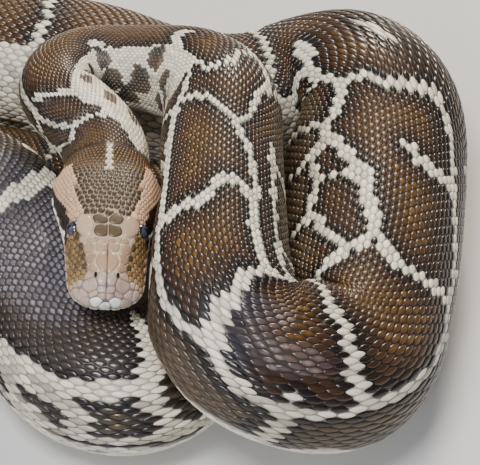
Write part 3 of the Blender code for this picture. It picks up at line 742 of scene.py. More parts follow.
# The neck's white inner flank: where it starts round the body, as (centimetres from the nape, degrees),
# and the olive spots on it, as (centimetres, degrees, radius in centimetres).
WHITE_EDGE = (
    (0.4, 48), (1, 36), (1.8, 28), (2.6, 18), (3.4, 10), (4.6, -4), (5.8, -10), (6.2, 2), (7.4, 26),
    (8.8, 35), (10.2, 39), (12.6, 32), (14.2, 27), (17, 23), (20.2, 15), (21.4, 26), (22.6, 26), (25, 60),
    (27, 130),
)
WHITE_ENDS = (0.27, 130)               # metres from the nape, and degrees, where it stops
WHITE_SPOTS = (
    (6.3, 26, 0.42), (7.4, 48, 0.5), (14.4, 74, 0.95), (17.2, 68, 1.0), (20.8, 62, 0.8), (13.6, 41, 0.75),
    (18.6, 36, 0.9), (10.8, 64, 0.7), (22.6, 84, 0.8), (12.4, 98, 0.8), (16.0, 98, 0.9), (20.0, 94, 0.9),
    (4.4, 34, 0.5), (3.0, 56, 0.6), (5.2, 74, 0.7), (8.6, 84, 0.7),
)
# A pale flank further back: middle and half length in metres, middle and half angle in degrees.
PALE_FLANK = (1.04, 0.20, -66, 33)


def line_distance(places, angles, girths):
    """Distance in metres to the edge of the nearest pale line: below nought inside it."""
    nearest = np.empty(len(places))
    for first in range(0, len(places), LINE_CHUNK):
        part = slice(first, first + LINE_CHUNK)
        far = segment_distance(places[part, None], angles[part, None], girths[part, None], ALL_LINES)
        nearest[part] = (far - ALL_LINES[4]).min(-1)
    return nearest


def mix(first, second, share):
    share = np.clip(share, 0, 1)[..., None]
    return first * (1 - share) + second * share


def within(value, low, high, soft):
    """One between two limits, falling off to nought over a soft border."""
    return smooth_step((value - low) / soft + 0.5) * smooth_step((high - value) / soft + 0.5)


def ripple(places, angles, pace):
    """A slow wave over the body, about -1 to 1, for uneven borders and spots."""
    wave = np.sin(places * pace + 2.1 * np.sin(angles * 3.1)) + np.sin(angles * 7.3 - places * pace * 0.71)
    return wave / 2


def painted_sheen_share(places, degrees):
    """How much painted bluish sheen, a painted reflection of the lights, each place gets."""
    share = np.zeros(len(places))
    for middle, level, half, spread, most in PAINTED_SHEENS:
        far = ((places - middle) / half) ** 2 + ((degrees - level) / spread) ** 2
        share = np.maximum(share, most * smooth_step(1.5 - far))
    return share


def dark_share(places, angles, girths, edge):
    """How dark the markings are at each place, from 0 on a pale line to 1 in a saddle."""
    degrees = np.degrees(angles)
    white = (degrees > np.interp(places / CM, *np.array(WHITE_EDGE).T)) & (degrees < WHITE_ENDS[1])
    white &= places < WHITE_ENDS[0]
    spots = np.zeros(len(places), bool)
    for place, angle, size in WHITE_SPOTS:
        along, across = places / CM - place, (angles - math.radians(angle)) * girths / CM
        spots |= np.hypot(along, across) < size * (1.1 + 0.3 * ripple(places, angles, 300))
    middle, half, level, spread = PALE_FLANK
    far = ((places - middle) / half) ** 4 + ((degrees - level) / spread) ** 4
    pale = far < 1 + 0.5 * ripple(places, angles, 60)
    specks = ripple(places * 1.7, angles * 1.3, 230) > 0.5
    dark = (edge > 0).astype(float)
    dark = np.where(white, spots * 0.95, dark)
    return np.where(pale, specks * 0.5, dark)


def saddle_colours(edge, flank, slate_sheen):
    """The dark colour at each place: black at a saddle's rim, olive in its middle, plainer low down."""
    saddle = mix(BLOTCH, OLIVE, ramp(edge, *OLIVE_CORE) * 0.8)
    saddle = mix(saddle, SLATE, slate_sheen * 0.8)
    saddle = mix(saddle, FLANK_DARK, flank)
    return mix(saddle, BLOTCH_EDGE_AND_SHADE, 1 - ramp(edge, *BLACK_RIM))


def coat_colours(places, angles, chance):
    """The main, rim and middle colour of the coat at each place, with its painted shade and painted bluish
    sheen.
    """
    girths = girth_at(places)
    degrees = np.degrees(angles)
    side = np.abs(degrees)
    lift = np.clip(chance.normal(0, 1, len(places)), -2, 2)
    edge = line_distance(places, angles, girths) + EDGE_WAVER[0] * ripple(places, angles, EDGE_WAVER[1])
    flank = ramp(side, *FLANK_START)
    belly = ramp(side + BELLY_WAVER[0] * ripple(places, angles, BELLY_WAVER[1]), *BELLY_START)
    dark = dark_share(places, angles, girths, edge) * (1 - belly)
    many, limit, tone = STRAY_DARK
    stray = (chance.uniform(0, 1, len(places)) < many) & (belly > 0.5) & (side < limit)
    dark = np.where(stray, tone, dark)
    flecks = ramp(side, *FLECKS_START) * (1 - belly) * chance.uniform(0, 1, len(places)) ** UNEVEN
    dark = np.maximum(dark, FLECK_DARK * flecks)
    edge = edge / thinness(girths, 0.25)
    slate_sheen = within(places, *SLATE_SHEEN_STRETCH)
    sheen = painted_sheen_share(places, degrees)
    ground = mix(CREAM, FLANK_PALE, flank * (0.35 + 0.3 * ripple(places, angles, 90)))
    ground = mix(ground, BELLY, belly)
    main = mix(ground, saddle_colours(edge, flank, slate_sheen), dark) * (1 + TONE_SPREAD * lift)[:, None]
    rim = mix(main * RIM_SHADES[0], main * RIM_SHADES[1], dark)
    # Painted shade: on the snake's left of this stretch the saddles are darkened towards black, and their
    # gold is lessened below.
    shade = within(places, *PAINTED_SHADE_STRETCH) * ramp(degrees, *PAINTED_SHADE_START) * dark
    main = mix(main, BLOTCH_EDGE_AND_SHADE, shade * 0.75)
    # Painted bluish sheen, a painted reflection, laid over the dark scales.
    main = mix(main, PAINTED_SHEEN, sheen * dark * 0.16)
    least, more = GOLD_SHARES
    golden = ramp(edge, *GOLD_CORE) * (least + more * chance.uniform(0, 1, len(places)) ** UNEVEN)
    golden = golden * (1 - 0.45 * flank) * (0.35 + 0.65 * ramp(places, 0.08, 0.1))
    # Less gold under the painted shade. In the greyer saddles and under the painted sheen, the dark scales'
    # middles turn to the painted bluish sheen.
    uneven = (0.72 + 0.36 * ripple(places, angles, 34)) * (1 - 0.8 * shade)
    golden = golden * ((1 - np.maximum(slate_sheen, sheen)) * uneven + 2.5 * sheen)
    gold_and_sheen = mix(GOLD, PAINTED_SHEEN, np.maximum(slate_sheen, sheen))
    middle = mix(mix(main, CREAM, 0.2 * (1 - dark)), gold_and_sheen, golden * dark)
    return main, rim, middle


SKIN_SHARE = 0.48                      # how bright the skin is by the scales


def skin_colours(places, angles):
    """The skin's colour between the scales: the same markings, painted shade and painted sheen, darker."""
    main, _, _ = coat_colours(places, angles, np.random.default_rng(3))
    return main * SKIN_SHARE


# ---- meshes -------------------------------------------------------------------------------------
PATCH = 0.003                          # how wide each scale's patch is in the bake map
MAP_BORDER = 0.02                      # the map's bare border


def add_mesh(name, points, faces, colours, flat_map=None):
    """A smooth mesh object with a colour at each point and, for the coat, its bake map."""
    mesh = bpy.data.meshes.new(name)
    size = faces.shape[1]
    mesh.vertices.add(len(points))
    mesh.vertices.foreach_set("co", np.ascontiguousarray(points, dtype=np.float32).ravel())
    mesh.loops.add(faces.size)
    mesh.loops.foreach_set("vertex_index", np.ascontiguousarray(faces, dtype=np.int32).ravel())
    mesh.polygons.add(len(faces))
    mesh.polygons.foreach_set("loop_start", np.arange(0, faces.size, size, dtype=np.int32))
    mesh.update(calc_edges=True)
    mesh.validate()
    mesh.shade_smooth()
    tint = mesh.attributes.new("tint", "FLOAT_COLOR", "POINT")
    full = np.concatenate([np.clip(colours, 0, 1), np.ones((len(points), 1))], 1)
    tint.data.foreach_set("color", full.astype(np.float32).ravel())
    if flat_map is not None:
        layer = mesh.uv_layers.new(name="OFBake")
        corners = flat_map[faces.ravel()]
        layer.data.foreach_set("uv", corners.astype(np.float32).ravel())
    piece = bpy.data.objects.new(name, mesh)
    bpy.context.scene.collection.objects.link(piece)
    return piece


def scale_faces(count):
    """Triangles of one scale: outline and shoulder points, half as many on the crest, and a middle."""
    half = count // 2
    outer, shoulder = list(range(count)), list(range(count, 2 * count))
    crest, middle = list(range(2 * count, 2 * count + half)), 2 * count + half
    faces = []
    for i in range(count):
        j = (i + 1) % count
        faces += [(outer[i], outer[j], shoulder[j]), (outer[i], shoulder[j], shoulder[i])]
    for i in range(half):
        a, b, c = shoulder[2 * i], shoulder[2 * i + 1], shoulder[(2 * i + 2) % count]
        d, e = crest[i], crest[(i + 1) % half]
        faces += [(a, b, d), (b, e, d), (b, c, e), (d, e, middle)]
    return np.array(faces)


def scale_rings(count):
    """The ring of each of a scale's points: 0 outline, 1 shoulder, 2 crest, 3 middle."""
    return np.repeat((0, 1, 2, 3), (count, count, count // 2, 1))


def repeat_faces(faces, count, size):
    """The faces of many equal parts that have size points each."""
    return (faces[None] + np.arange(count)[:, None, None] * size).reshape(-1, 3)


def map_share(value):
    """A share of the bake map's width or height, clear of its borders."""
    return MAP_BORDER + (1 - 2 * MAP_BORDER) * value


# ---- body scales --------------------------------------------------------------------------------
SHOULDER_SHARE = 0.84                  # the shoulder and crest rings by the outline
CREST_RING = 0.45
RING_HEIGHTS = np.array((-0.18, 0.70, 0.98, 1.06))   # share of a scale's crest at each ring
REAR_LIFT = 0.16                       # how much more a scale stands up at its rear
SCALE_WIDE = 1.16                      # a scale's width by its row's, so that rows overlap
CREST_LIMIT = 0.00105
CREST_SHARE = 0.18                     # a scale's crest by its width, up to that limit
SIZE_SPREAD = 0.03                     # spread of the scales' lengths and widths, and of their crests
CREST_SPREAD = 0.06


def scale_template():
    """The points of one body scale, as (along, across) from -1 to 1."""
    turn = np.linspace(0, 2 * math.pi, OUTLINE_POINTS, endpoint=False)
    power = 2 / OUTLINE_POWER
    along = np.sign(np.cos(turn)) * np.abs(np.cos(turn)) ** power
    across = np.sign(np.sin(turn)) * np.abs(np.sin(turn)) ** power
    outline = np.stack([along, across], -1)
    return np.concatenate([outline, outline * SHOULDER_SHARE, outline[::2] * CREST_RING, [(0.0, 0.0)]])


def lattice(start, end, rows, length):
    """Staggered places of the scales in one stretch: distance, angle, half length, half width."""
    span = 2 * FLANK / rows
    middle = (start + end) / 2
    girth = girth_at(np.array([middle]))[0]
    columns = max(2, int(round((end - start) / (length * span * girth))))
    step = (end - start) / columns
    row = np.arange(rows)
    angle = -FLANK + span * (row + 0.5)
    place = start + step * (np.arange(columns)[None] + 0.25 + 0.5 * (row[:, None] % 2))
    angles = np.repeat(angle[:, None], columns, 1)
    return place.ravel(), angles.ravel(), step / 2, span / 2


def scale_cells(body, place, angle, half_length, half_width, chance):
    """All points of many scales: arrays of shape scales by points."""
    template = scale_template()
    ring = scale_rings(OUTLINE_POINTS)
    count = len(place)
    stretch = chance.normal(1.0, SIZE_SPREAD, (count, 1))
    widen = chance.normal(1.0, SIZE_SPREAD, (count, 1))
    places = place[:, None] + template[None, :, 0] * half_length * stretch
    angles = angle[:, None] + template[None, :, 1] * half_width * SCALE_WIDE * widen
    width = 2 * half_width * girth_at(place)[:, None]
    crest = np.minimum(CREST_LIMIT, CREST_SHARE * width) * chance.normal(1.0, CREST_SPREAD, (count, 1))
    lift = RING_HEIGHTS[ring][None] + np.where(ring > 0, REAR_LIFT, 0)[None] * template[None, :, 0]
    return body.at(places, angles, lift * crest - body_depth(places))


def body_depth(places):
    """How far the skin lies inside the solids along the body: less on the thin tail."""
    least, end, over = THIN_TAIL
    return SKIN_DEPTH * np.clip(least + (end - places) / over, least, 1.0)


def patch_map(place, angle, start, end):
    """The bake map: each scale is a small patch at its root's place on the unrolled skin."""
    along = map_share((place - start) / (end - start))
    around = map_share((angle + math.pi) / (2 * math.pi))
    middle = np.stack([along, around], -1)
    return middle[:, None] + scale_template()[None] * PATCH / 2


def body_scales(body):
    """The coat of the back and flanks, one piece for each stretch."""
    pieces = []
    ring = scale_rings(OUTLINE_POINTS)
    for number, (start, end, rows, length) in enumerate(SCALE_ZONES):
        chance = np.random.default_rng(20 + number)
        place, angle, half_length, half_width = lattice(start, end, rows, length)
        keep = place < end
        place, angle = place[keep], angle[keep]
        points = scale_cells(body, place, angle, half_length, half_width, chance)
        main, rim, middle = coat_colours(place, angle, chance)
        colours = np.stack([rim, main, (main + middle) / 2, middle], 1)[:, ring]
        faces = repeat_faces(scale_faces(OUTLINE_POINTS), *points.shape[:2])
        flat = patch_map(place, angle, start, end)
        name = "coat_scales_%d" % (number + 1)
        piece = add_mesh(name, points.reshape(-1, 3), faces, colours.reshape(-1, 3), flat.reshape(-1, 2))
        pieces.append((piece, start, end))
    return pieces


# ---- belly --------------------------------------------------------------------------------------
# Stretches of plates: start and end in metres from the nape, plates side by side, a plate's length.
PLATE_ZONES = (
    (0.004, 0.95, 1, 0.0114), (0.95, 1.90, 1, 0.0114), (1.90, VENT, 1, 0.0114), (VENT, 3.245, 2, 0.0063),
)
# A plate from front to rear: along it, by its length, and share of its crest.
PLATE_PROFILE = ((-0.56, -0.10), (-0.44, 0.25), (0.10, 0.62), (0.44, 0.95), (0.53, 0.70), (0.55, -0.10))
PLATE_CREST = 0.0010
PLATE_ARC = math.radians(180) - FLANK + math.radians(1.5)
PLATE_FILL = 0.985                     # a plate's width by the room it has
PLATE_BOW = 0.12                       # how far a plate's middle lies forward, by its length
PLATE_ENDS = (0.82, 0.18, 0.9)         # where it thins towards its ends, over how much, and how far
PLATE_TONE_SPREAD = 0.04
PLATE_MARKS = (0.10, 0.5)              # share of the plates with olive ends, and how many more on the tail
PLATE_MARK = (0.62, 0.2, 0.7)          # where the olive starts, over how much, and how strong it is


def plate_places(body, zone, count, half):
    """Distances, angles and heights of all points of one file of plates, and how far out each lies."""
    start, end, halves, _ = zone
    step = (end - start) / count
    middles = start + step * (np.arange(count) + 0.5)
    profile = np.array(PLATE_PROFILE)[None, :, None]
    across = np.linspace(-1, 1, BELLY_COLUMNS // halves + 1)
    centre = math.pi if halves == 1 else math.pi - PLATE_ARC / 2 + half * PLATE_ARC
    bow = np.cos(across * math.pi / 2) ** 0.5 * PLATE_BOW
    places = middles[:, None, None] + (profile[..., 0] - bow[None, None]) * step
    places = np.clip(places, 0.001, body.route.length - 0.001)
    thin = 1 - ramp(np.abs(across), *PLATE_ENDS[:2]) * PLATE_ENDS[2]
    heights = profile[..., 1] * thin[None, None] * PLATE_CREST - body_depth(places)
    angles = (centre + across * (PLATE_ARC / halves * PLATE_FILL))[None, None]
    angles = np.broadcast_to(angles, heights.shape)
    roots = map_share((middles[:, None, None] - start) / (end - start)) + PATCH * profile[..., 0]
    around = map_share((angles % (2 * math.pi)) / (2 * math.pi))
    flat = np.stack([np.broadcast_to(roots, heights.shape), around], -1)
    return places, angles, heights, np.abs(across), flat


def plate_colours(shape, outer, halves, chance):
    """The plates' colours: pale, some with an olive end, more of them under the tail."""
    tone = chance.normal(1, PLATE_TONE_SPREAD, (shape[0], 1, 1)) * np.ones(shape)
    share = PLATE_MARKS[0] + PLATE_MARKS[1] * (halves == 2)
    marked = chance.uniform(0, 1, (shape[0], 1, 1)) < share
    end = ramp(outer, *PLATE_MARK[:2])[None, None] * np.ones(shape)
    return mix(BELLY * tone[..., None], OLIVE, end * marked * PLATE_MARK[2])


def belly_plates(body):
    """Broad plates from under the nape to the vent, then paired ones under the tail."""
    pieces = []
    for number, zone in enumerate(PLATE_ZONES):
        start, end, halves, step = zone
        count = int(round((end - start) / step))
        parts = []
        for half in range(halves):
            places, angles, heights, outer, flat = plate_places(body, zone, count, half)
            points = body.at(places.ravel(), angles.ravel(), heights.ravel())
            index = np.arange(len(points)).reshape(heights.shape) + half * len(points)
            corners = (index[:, :-1, :-1], index[:, :-1, 1:], index[:, 1:, 1:], index[:, 1:, :-1])
            colours = plate_colours(heights.shape, outer, halves, np.random.default_rng(60 + number))
            faces = np.stack(corners, -1).reshape(-1, 4)
            parts.append((points, faces, colours.reshape(-1, 3), flat.reshape(-1, 2)))
        joined = [np.concatenate(group) for group in zip(*parts)]
        pieces.append((add_mesh("coat_belly_%d" % (number + 1), *joined), start, end))
    return pieces


# ---- skin ---------------------------------------------------------------------------------------
SKIN_SIDES = 120
SKIN_ENDS = np.array(((0.2, 0.15, 0.1), (0.1, 0.08, 0.06)))   # colours of its snout and tail end points
SKIN_STEP = 0.007
FOLD_STEP = 0.0025
HEAD_SKIN_STEPS = 44
HEAD_DEPTH = 0.0009
MOUTH_GROOVE = (0.0014, 0.13)          # how much deeper the skin lies in the mouth, and half width in keys
STATION_POWER = 0.8                    # draws stations together towards the snout
SKIN_SNOUT = 0.997                     # the last station of the skin's rings


def nape_key(angles):
    """The head's key for each angle from the crown's middle, signed like the head's own +X."""
    return np.interp(np.abs(np.degrees(angles)), NAPE_ANGLES, np.arange(9)) * -np.sign(angles)


class Head:
    """The head's surface as a grid over station, 0 at the nape to 1 at the snout, and key."""

    STATIONS = 160
    KEY_STEP = 0.1
    SNOUT = 0.9985             # the last station of the grid
    NOSE = (0.985, 0.013)      # from here on the normals turn straight ahead

    def __init__(self, axes):
        self.axes = axes
        self.station = self.SNOUT * np.sin(np.linspace(0, 1, self.STATIONS) * math.pi / 2) ** STATION_POWER
        self.station[0] = 0.0
        steps = round(CHIN_KEY / self.KEY_STEP)
        self.key = np.arange(-steps, steps + 1) * self.KEY_STEP
        self.local = np.array([head_row(station, self.key) for station in self.station])
        normal = np.cross(np.gradient(self.local, axis=1), np.gradient(self.local, axis=0))
        middle = self.local.mean(1, keepdims=True) * np.array((0, 1, 0))
        outward = self.local - middle - np.array((0, 0, 0.002))
        normal = unit(normal * np.sign((normal * outward).sum(-1, keepdims=True)))
        nose = ramp(self.station, *self.NOSE)[:, None, None]
        self.normal = unit(normal * (1 - nose) + np.array((0, 1, 0)) * nose)

    def to_scene(self, points):
        """Points of the head's own frame, in the scene."""
        return points @ self.axes[:3, :3].T + self.axes[:3, 3]

    def at(self, stations, keys, heights):
        """Points over the surface in the scene, by station, key and height in metres."""
        row = np.interp(stations, self.station, np.arange(len(self.station)))
        row = np.clip(row, 0, len(self.station) - GRID_END)
        column = np.clip((keys + CHIN_KEY) / self.KEY_STEP, 0, len(self.key) - GRID_END)
        low, before = row.astype(int), column.astype(int)
        rows, columns = (low, low + 1), (before, before + 1)
        parts = ((row - low)[..., None], (column - before)[..., None])
        normal = unit(read_grid(self.normal, rows, columns, *parts))
        return self.to_scene(read_grid(self.local, rows, columns, *parts) + normal * heights[..., None])


def head_skin_depth(stations, keys):
    """How far the head's skin lies in: deeper in the groove of the mouth and near the nape."""
    deep, half = MOUTH_GROOVE
    groove = np.exp(-((np.abs(keys) - MOUTH_KEY) / half) ** 2) * ramp(stations, 0.22, 0.05)
    nape = 1 - smooth_step(stations / 0.12)
    return HEAD_DEPTH + (SKIN_DEPTH - HEAD_DEPTH) * nape + deep * groove


def skin_places(body):
    """Distances from the nape of the skin's rings, closer together at the folds."""
    before = np.arange(SKIN_STEP, FOLD_REACH[0], SKIN_STEP)
    count = int((body.route.length - FOLD_REACH[1]) / SKIN_STEP)
    after = np.linspace(FOLD_REACH[1], body.route.length, count)
    return np.concatenate([before, np.arange(*FOLD_REACH, FOLD_STEP), after])


def tube_faces(rows, sides):
    """Triangles of a closed tube of rings, with a middle point after the rings at each end."""
    index = np.arange(rows * sides).reshape(rows, sides)
    turned = np.roll(index, -1, 1)
    walls = np.stack([index[:-1], turned[:-1], turned[1:], index[1:]], -1).reshape(-1, 4)
    first, last = rows * sides, rows * sides + 1
    ends = (
        np.stack([turned[0], index[0], np.full(sides, first)], -1),
        np.stack([index[-1], turned[-1], np.full(sides, last)], -1),
    )
    return np.concatenate([walls[:, :3], walls[:, [0, 2, 3]], *ends])


def make_skin(body, head):
    """One closed skin from the snout to the tail's tip."""
    angles = np.linspace(-math.pi, math.pi, SKIN_SIDES, endpoint=False)
    stations = SKIN_SNOUT * np.sin(np.linspace(1, 0, HEAD_SKIN_STEPS) * math.pi / 2) ** STATION_POWER
    head_s, head_k = np.meshgrid(stations, nape_key(angles), indexing="ij")
    body_s, body_a = np.meshgrid(skin_places(body), angles, indexing="ij")
    head_points = head.at(head_s, head_k, -head_skin_depth(head_s, head_k))
    rings = np.concatenate([head_points, body.at(body_s, body_a, -body_depth(body_s))])
    points = np.concatenate([rings.reshape(-1, 3), rings[[0, -1]].mean(1)])
    colours = np.concatenate([
        head_skin_colours(head_s.ravel(), head_k.ravel()), skin_colours(body_s.ravel(), body_a.ravel()),
        SKIN_ENDS,
    ])
    return add_mesh("skin", points, tube_faces(len(rings), SKIN_SIDES), colours)


# ---- head colours -------------------------------------------------------------------------------
CROWN_TAN = srgb(164, 134, 108)
SUPRA_TAN = srgb(176, 148, 120)
FRONTAL_OLIVE = srgb(84, 68, 48)
ARROW_DARK = srgb(66, 49, 32)
ARROW_NET = srgb(206, 186, 156)
CHEEK_PINK = srgb(204, 164, 131)
LORE_OLIVE = srgb(122, 95, 60)
STRIPE_DARK = srgb(40, 28, 20)
LABIAL_TAN = srgb(188, 155, 127)
NOSE_PALE = srgb(176, 152, 137)
WHITE = srgb(242, 236, 226)
# Near-black: painted shade in the mouth line and the nostrils, and, darker, the pupil
HOLE_SHADE_AND_PUPIL = srgb(14, 10, 9)
EYE_IRIS = srgb(62, 64, 74)
EYE_RIM = srgb(22, 22, 28)
# Fields of colour, each laid over those before it: the colour, then station from, to and soft border,
# key from, to and soft border, and how much of it.
CROWN_FIELDS = (
    (CHEEK_PINK, (-0.1, 0.50, 0.06), (1.5, 4.6, 0.1), 1.0),
    (SUPRA_TAN, (0.49, 0.66, 0.02), (0.7, 2.1, 0.1), 1.0),
    (FRONTAL_OLIVE, (0.49, 0.645, 0.01), (-0.1, 0.84, 0.06), 1.0),
    (NOSE_PALE, (0.865, 1.1, 0.03), (-0.1, 3.2, 0.2), 1.0),
    (LORE_OLIVE, (0.575, 0.865, 0.03), (2.12, 3.65, 0.1), 1.0),
    (STRIPE_DARK, (0.57, 0.87, 0.02), (2.02, 2.24, 0.08), 0.7),
    (LABIAL_TAN, (0.56, 1.1, 0.03), (3.65, 5.0, 0.1), 1.0),
    (WHITE, (0.925, 1.2, 0.02), (3.25, 9.0, 0.2), 1.0),
)
LIP_FIELDS = (
    (STRIPE_DARK, (0.525, 0.575, 0.02), (3.3, 5.7, 0.2), 1.0),
    (STRIPE_DARK, (0.33, 0.40, 0.03), (5.2, 6.2, 0.3), 0.8),
)
NAPE_STRIPE = ((CREAM, (-1, 0.17, 0.03), (-1, 0.17, 0.05), 1.0),)
HEAD_SKIN_FIELDS = (
    (ARROW_NET * 0.55, (0.13, 0.66, 0.06), (-1, 1.75, 0.1), 1.0),
    (ARROW_NET, (0.64, 0.87, 0.04), (0.12, 2.0, 0.1), 0.8),
    (STRIPE_DARK, (0.70, 0.96, 0.02), (-1, 0.09, 0.05), 1.0),
)
MOUTH_SHADE_HALF = 0.16              # half width of the painted shade along the mouth line, in keys
# The stripe behind the eye and the arrow on the crown: (station, key) of the stripe's top, its width in
# keys, and (station, key) of the arrow's edge.
STRIPE_TOP = ((0.05, 4.3), (0.15, 4.0), (0.25, 3.45), (0.32, 3.1), (0.40, 2.9), (0.48, 2.7), (0.55, 2.4))
STRIPE_WIDTH = ((0.05, 0.5), (0.30, 0.80), (0.48, 0.95), (0.55, 1.2))
ARROW_EDGE = ((0.00, 3.5), (0.05, 3.3), (0.10, 1.95), (0.20, 1.68), (0.46, 1.55), (0.49, 1.2), (0.505, 0.0))


def lay_fields(colour, fields, stations, side):
    """A colour with fields of other colours laid over it."""
    for tint, along, across, much in fields:
        colour = mix(colour, tint, within(stations, *along) * within(side, *across) * much)
    return colour


def head_colours(stations, keys):
    """The head's colour by station and key: tan crown, dark arrow, stripe behind the eye, pale lips."""
    side = np.abs(keys)
    colour = lay_fields(CROWN_TAN, CROWN_FIELDS, stations, side)
    top = np.interp(stations, *np.array(STRIPE_TOP).T)
    bottom = top + np.interp(stations, *np.array(STRIPE_WIDTH).T)
    behind = smooth_step((0.55 - stations) / 0.02)
    under = smooth_step((side - bottom) / 0.1 + 0.5)
    colour = mix(colour, WHITE, behind * under)
    colour = mix(colour, BELLY, within(side, 5.4, 9.0, 0.2))
    colour = mix(colour, STRIPE_DARK, behind * within(side, top, bottom, 0.1))
    colour = lay_fields(colour, LIP_FIELDS, stations, side)
    edge = np.interp(stations, *np.array(ARROW_EDGE).T)
    arrow = smooth_step((edge - side) / 0.12 + 0.5) * smooth_step((0.50 - stations) / 0.01)
    return lay_fields(mix(colour, ARROW_DARK, arrow), NAPE_STRIPE, stations, side)


def head_skin_colours(stations, keys):
    """The head's skin between its scales: a pale net on the crown, dark elsewhere, and painted shade in the
    mouth.
    """
    side = np.abs(keys)
    colour = lay_fields(head_colours(stations, keys) * 0.5, HEAD_SKIN_FIELDS, stations, side)
    # Painted shade along the mouth line
    mouth = within(side, MOUTH_KEY - MOUTH_SHADE_HALF, MOUTH_KEY + MOUTH_SHADE_HALF, 0.1) * ramp(stations, 0.2, 0.05)
    return mix(colour, HOLE_SHADE_AND_PUPIL, mouth)


# ---- head shields and scales --------------------------------------------------------------------
# Shields on both sides: station, key, half length and half width in centimetres, share of its crest.
SIDE_SHIELDS = (
    (0.531, 0.40, 0.42, 0.50, 1.0), (0.602, 0.36, 0.42, 0.44, 1.0),       # frontal, in two
    (0.570, 1.44, 0.86, 0.56, 1.0),       # over the eye
    (0.672, 0.36, 0.17, 0.20, 0.8), (0.665, 0.80, 0.16, 0.20, 0.8), (0.668, 1.25, 0.18, 0.24, 0.8),
    (0.712, 0.50, 0.32, 0.44, 1.0), (0.712, 1.45, 0.40, 0.40, 1.0),
    (0.800, 0.50, 0.70, 0.44, 1.0),       # front of the crown
    (0.770, 1.50, 0.36, 0.36, 1.0), (0.830, 1.45, 0.32, 0.36, 1.0),
    (0.915, 0.52, 0.46, 0.34, 1.0),       # between the nostrils
    (0.925, 2.10, 0.52, 0.50, 1.0),       # nasal
    (0.880, 1.20, 0.19, 0.10, 0.12),      # nostril
    (0.866, 1.95, 0.24, 0.30, 1.0),
    (0.962, 0.75, 0.24, 0.34, 0.9), (0.955, 3.10, 0.34, 0.36, 0.9),
)
MIDDLE_SHIELDS = (
    (0.492, 0.0, 0.26, 0.30, 1.0), (0.674, 0.0, 0.16, 0.16, 0.8),
)
# Shields of the snout's front: across and height, half height and half width, all in centimetres, share
# of its crest, and the key for its colour.
FRONT_SHIELDS = (
    (0.00, 0.37, 0.22, 0.42, 0.9, 4.4),       # rostral
    (0.62, 0.74, 0.42, 0.46, 1.0, 4.4),       # first lip shields, over the rostral
    (1.28, 0.46, 0.46, 0.40, 1.0, 3.1), (1.84, 0.40, 0.42, 0.34, 1.0, 3.0),
    (0.30, 1.30, 0.20, 0.30, 0.9, 1.0),
    (0.95, 1.28, 0.20, 0.30, 0.9, 2.0),
    (0.00, -0.34, 0.28, 0.42, 0.9, 5.6),      # mental
    (0.80, -0.36, 0.28, 0.34, 1.0, 5.6),
    (1.42, -0.36, 0.28, 0.32, 1.0, 5.6),
)
# The lips' shields: station from and to, count, key, half length and half width in centimetres.
UPPER_LABIALS = (0.250, 0.915, 11, 4.46, 0.37, 0.34)
LOWER_LABIALS = (0.250, 0.925, 12, 5.56, 0.32, 0.32)
LABIAL_CREST = 0.95
EYE_RING = (11, 0.61, 0.15)    # count, distance from the eye's middle and half size in centimetres
EYE_RING_CREST = 1.5
EYE_RING_TOP = 0.0038          # the ring is left open above this height over the eye's middle
EYE_CLEAR = 0.0087             # no small scale lies nearer to the eye's middle
# Small scales: station from and to, key from and to, half size in centimetres at the two stations.
SMALL_SCALES = (
    (0.000, 0.495, 0.0, 2.0, 0.120, 0.235),
    (0.000, 0.555, 2.0, 4.15, 0.130, 0.200), (0.560, 0.900, 2.0, 4.10, 0.200, 0.190),
    (0.000, 0.240, 4.15, 5.9, 0.150, 0.230), (0.000, 0.960, 5.95, 8.0, 0.190, 0.240),
)
STRAY = 0.04                   # how far small scales stray from their rows, by their size
CROWN_STRAY = 0.17             # how much further on the crown
LOOSE_CROWN = (0.17, 0.52, 0.12)       # there: station from and to, with its soft border, and key
LOOSE_KEY = 1.9
SCALE_LONG = 1.12              # a small scale's length by its width
SHIELD_ROOM = 0.72             # how far a small scale keeps from the shields, by its half size
SHIELD_NEAR = 0.02             # shields further off than this are not in its way
STEEP = 0.7                    # scales on a steeper front point up instead of forward
NOSE_OUTWARD = (0.09, 0.4)     # from here on, the way out of the head is also forward, by this much
ROW_STEP = 1.78                # from one row of small scales to the next, by their half size
CROWN = (0.13, 0.5, 1.75)      # the part with the pale net: station from and to, and key
LORE = (0.57, 0.88, 2.1, 3.7)  # the part with uneven tones: station from and to, key from and to
TONE_SPREADS = (0.07, 0.20)    # spread of the scales' brightness, and in the part with uneven tones
DARK_TONE = 0.10               # a scale darker than this belongs to a dark marking
ARROW_GOLD = (0.16, 3.5)       # dark scales before this station and key have golden middles
SCALE_EDGES = (0.86, 0.55)     # the edge by the scale's own tone, on pale and on dark scales
HEART_TONE = 1.05              # the middle by the scale's own tone
SHIELD_GAP = 0.00010
SHIELD_CREST = 0.00062
SMALL_CREST = 0.00050
SHIELD_HEIGHTS = (-0.2, 0.86, 1.0, 1.04)       # share of a scale's crest at each ring
SMALL_HEIGHTS = (-0.2, 0.72, 0.97, 1.05)
NET_SHOULDER = 0.89            # the shoulder by the outline, on small scales in the net and elsewhere
SMALL_SHOULDER = 0.84
SHIELD_BEVEL = 0.0007          # metres from a shield's edge to its shoulder
SHIELD_SHOULDER = 0.80         # which is at least this, by the outline
SMALL_CREST_RING = 0.45        # the crest ring by the outline
SHIELD_CREST_RING = 0.70
HEAD_CREST_SPREAD = 0.05
NOSTRIL_CREST = 0.2            # shields lower than this are the nostrils, painted near-black as painted shade for their holes
CELL_START_SIDES = 14          # sides of a cell before its neighbours cut it, and of its final outline
CELL_SIDES = 16
CELL_REACH = 1.42              # a cell before the cuts, by its scale's half size
CELL_TURN = 0.2
CELL_MARGIN = 0.006            # neighbours lie nearer than twice the half size and this
CELL_OPPOSITE = -0.2           # one that faces away further than this is no neighbour


Site = namedtuple("Site", "at normal along across length width crest kind station key")


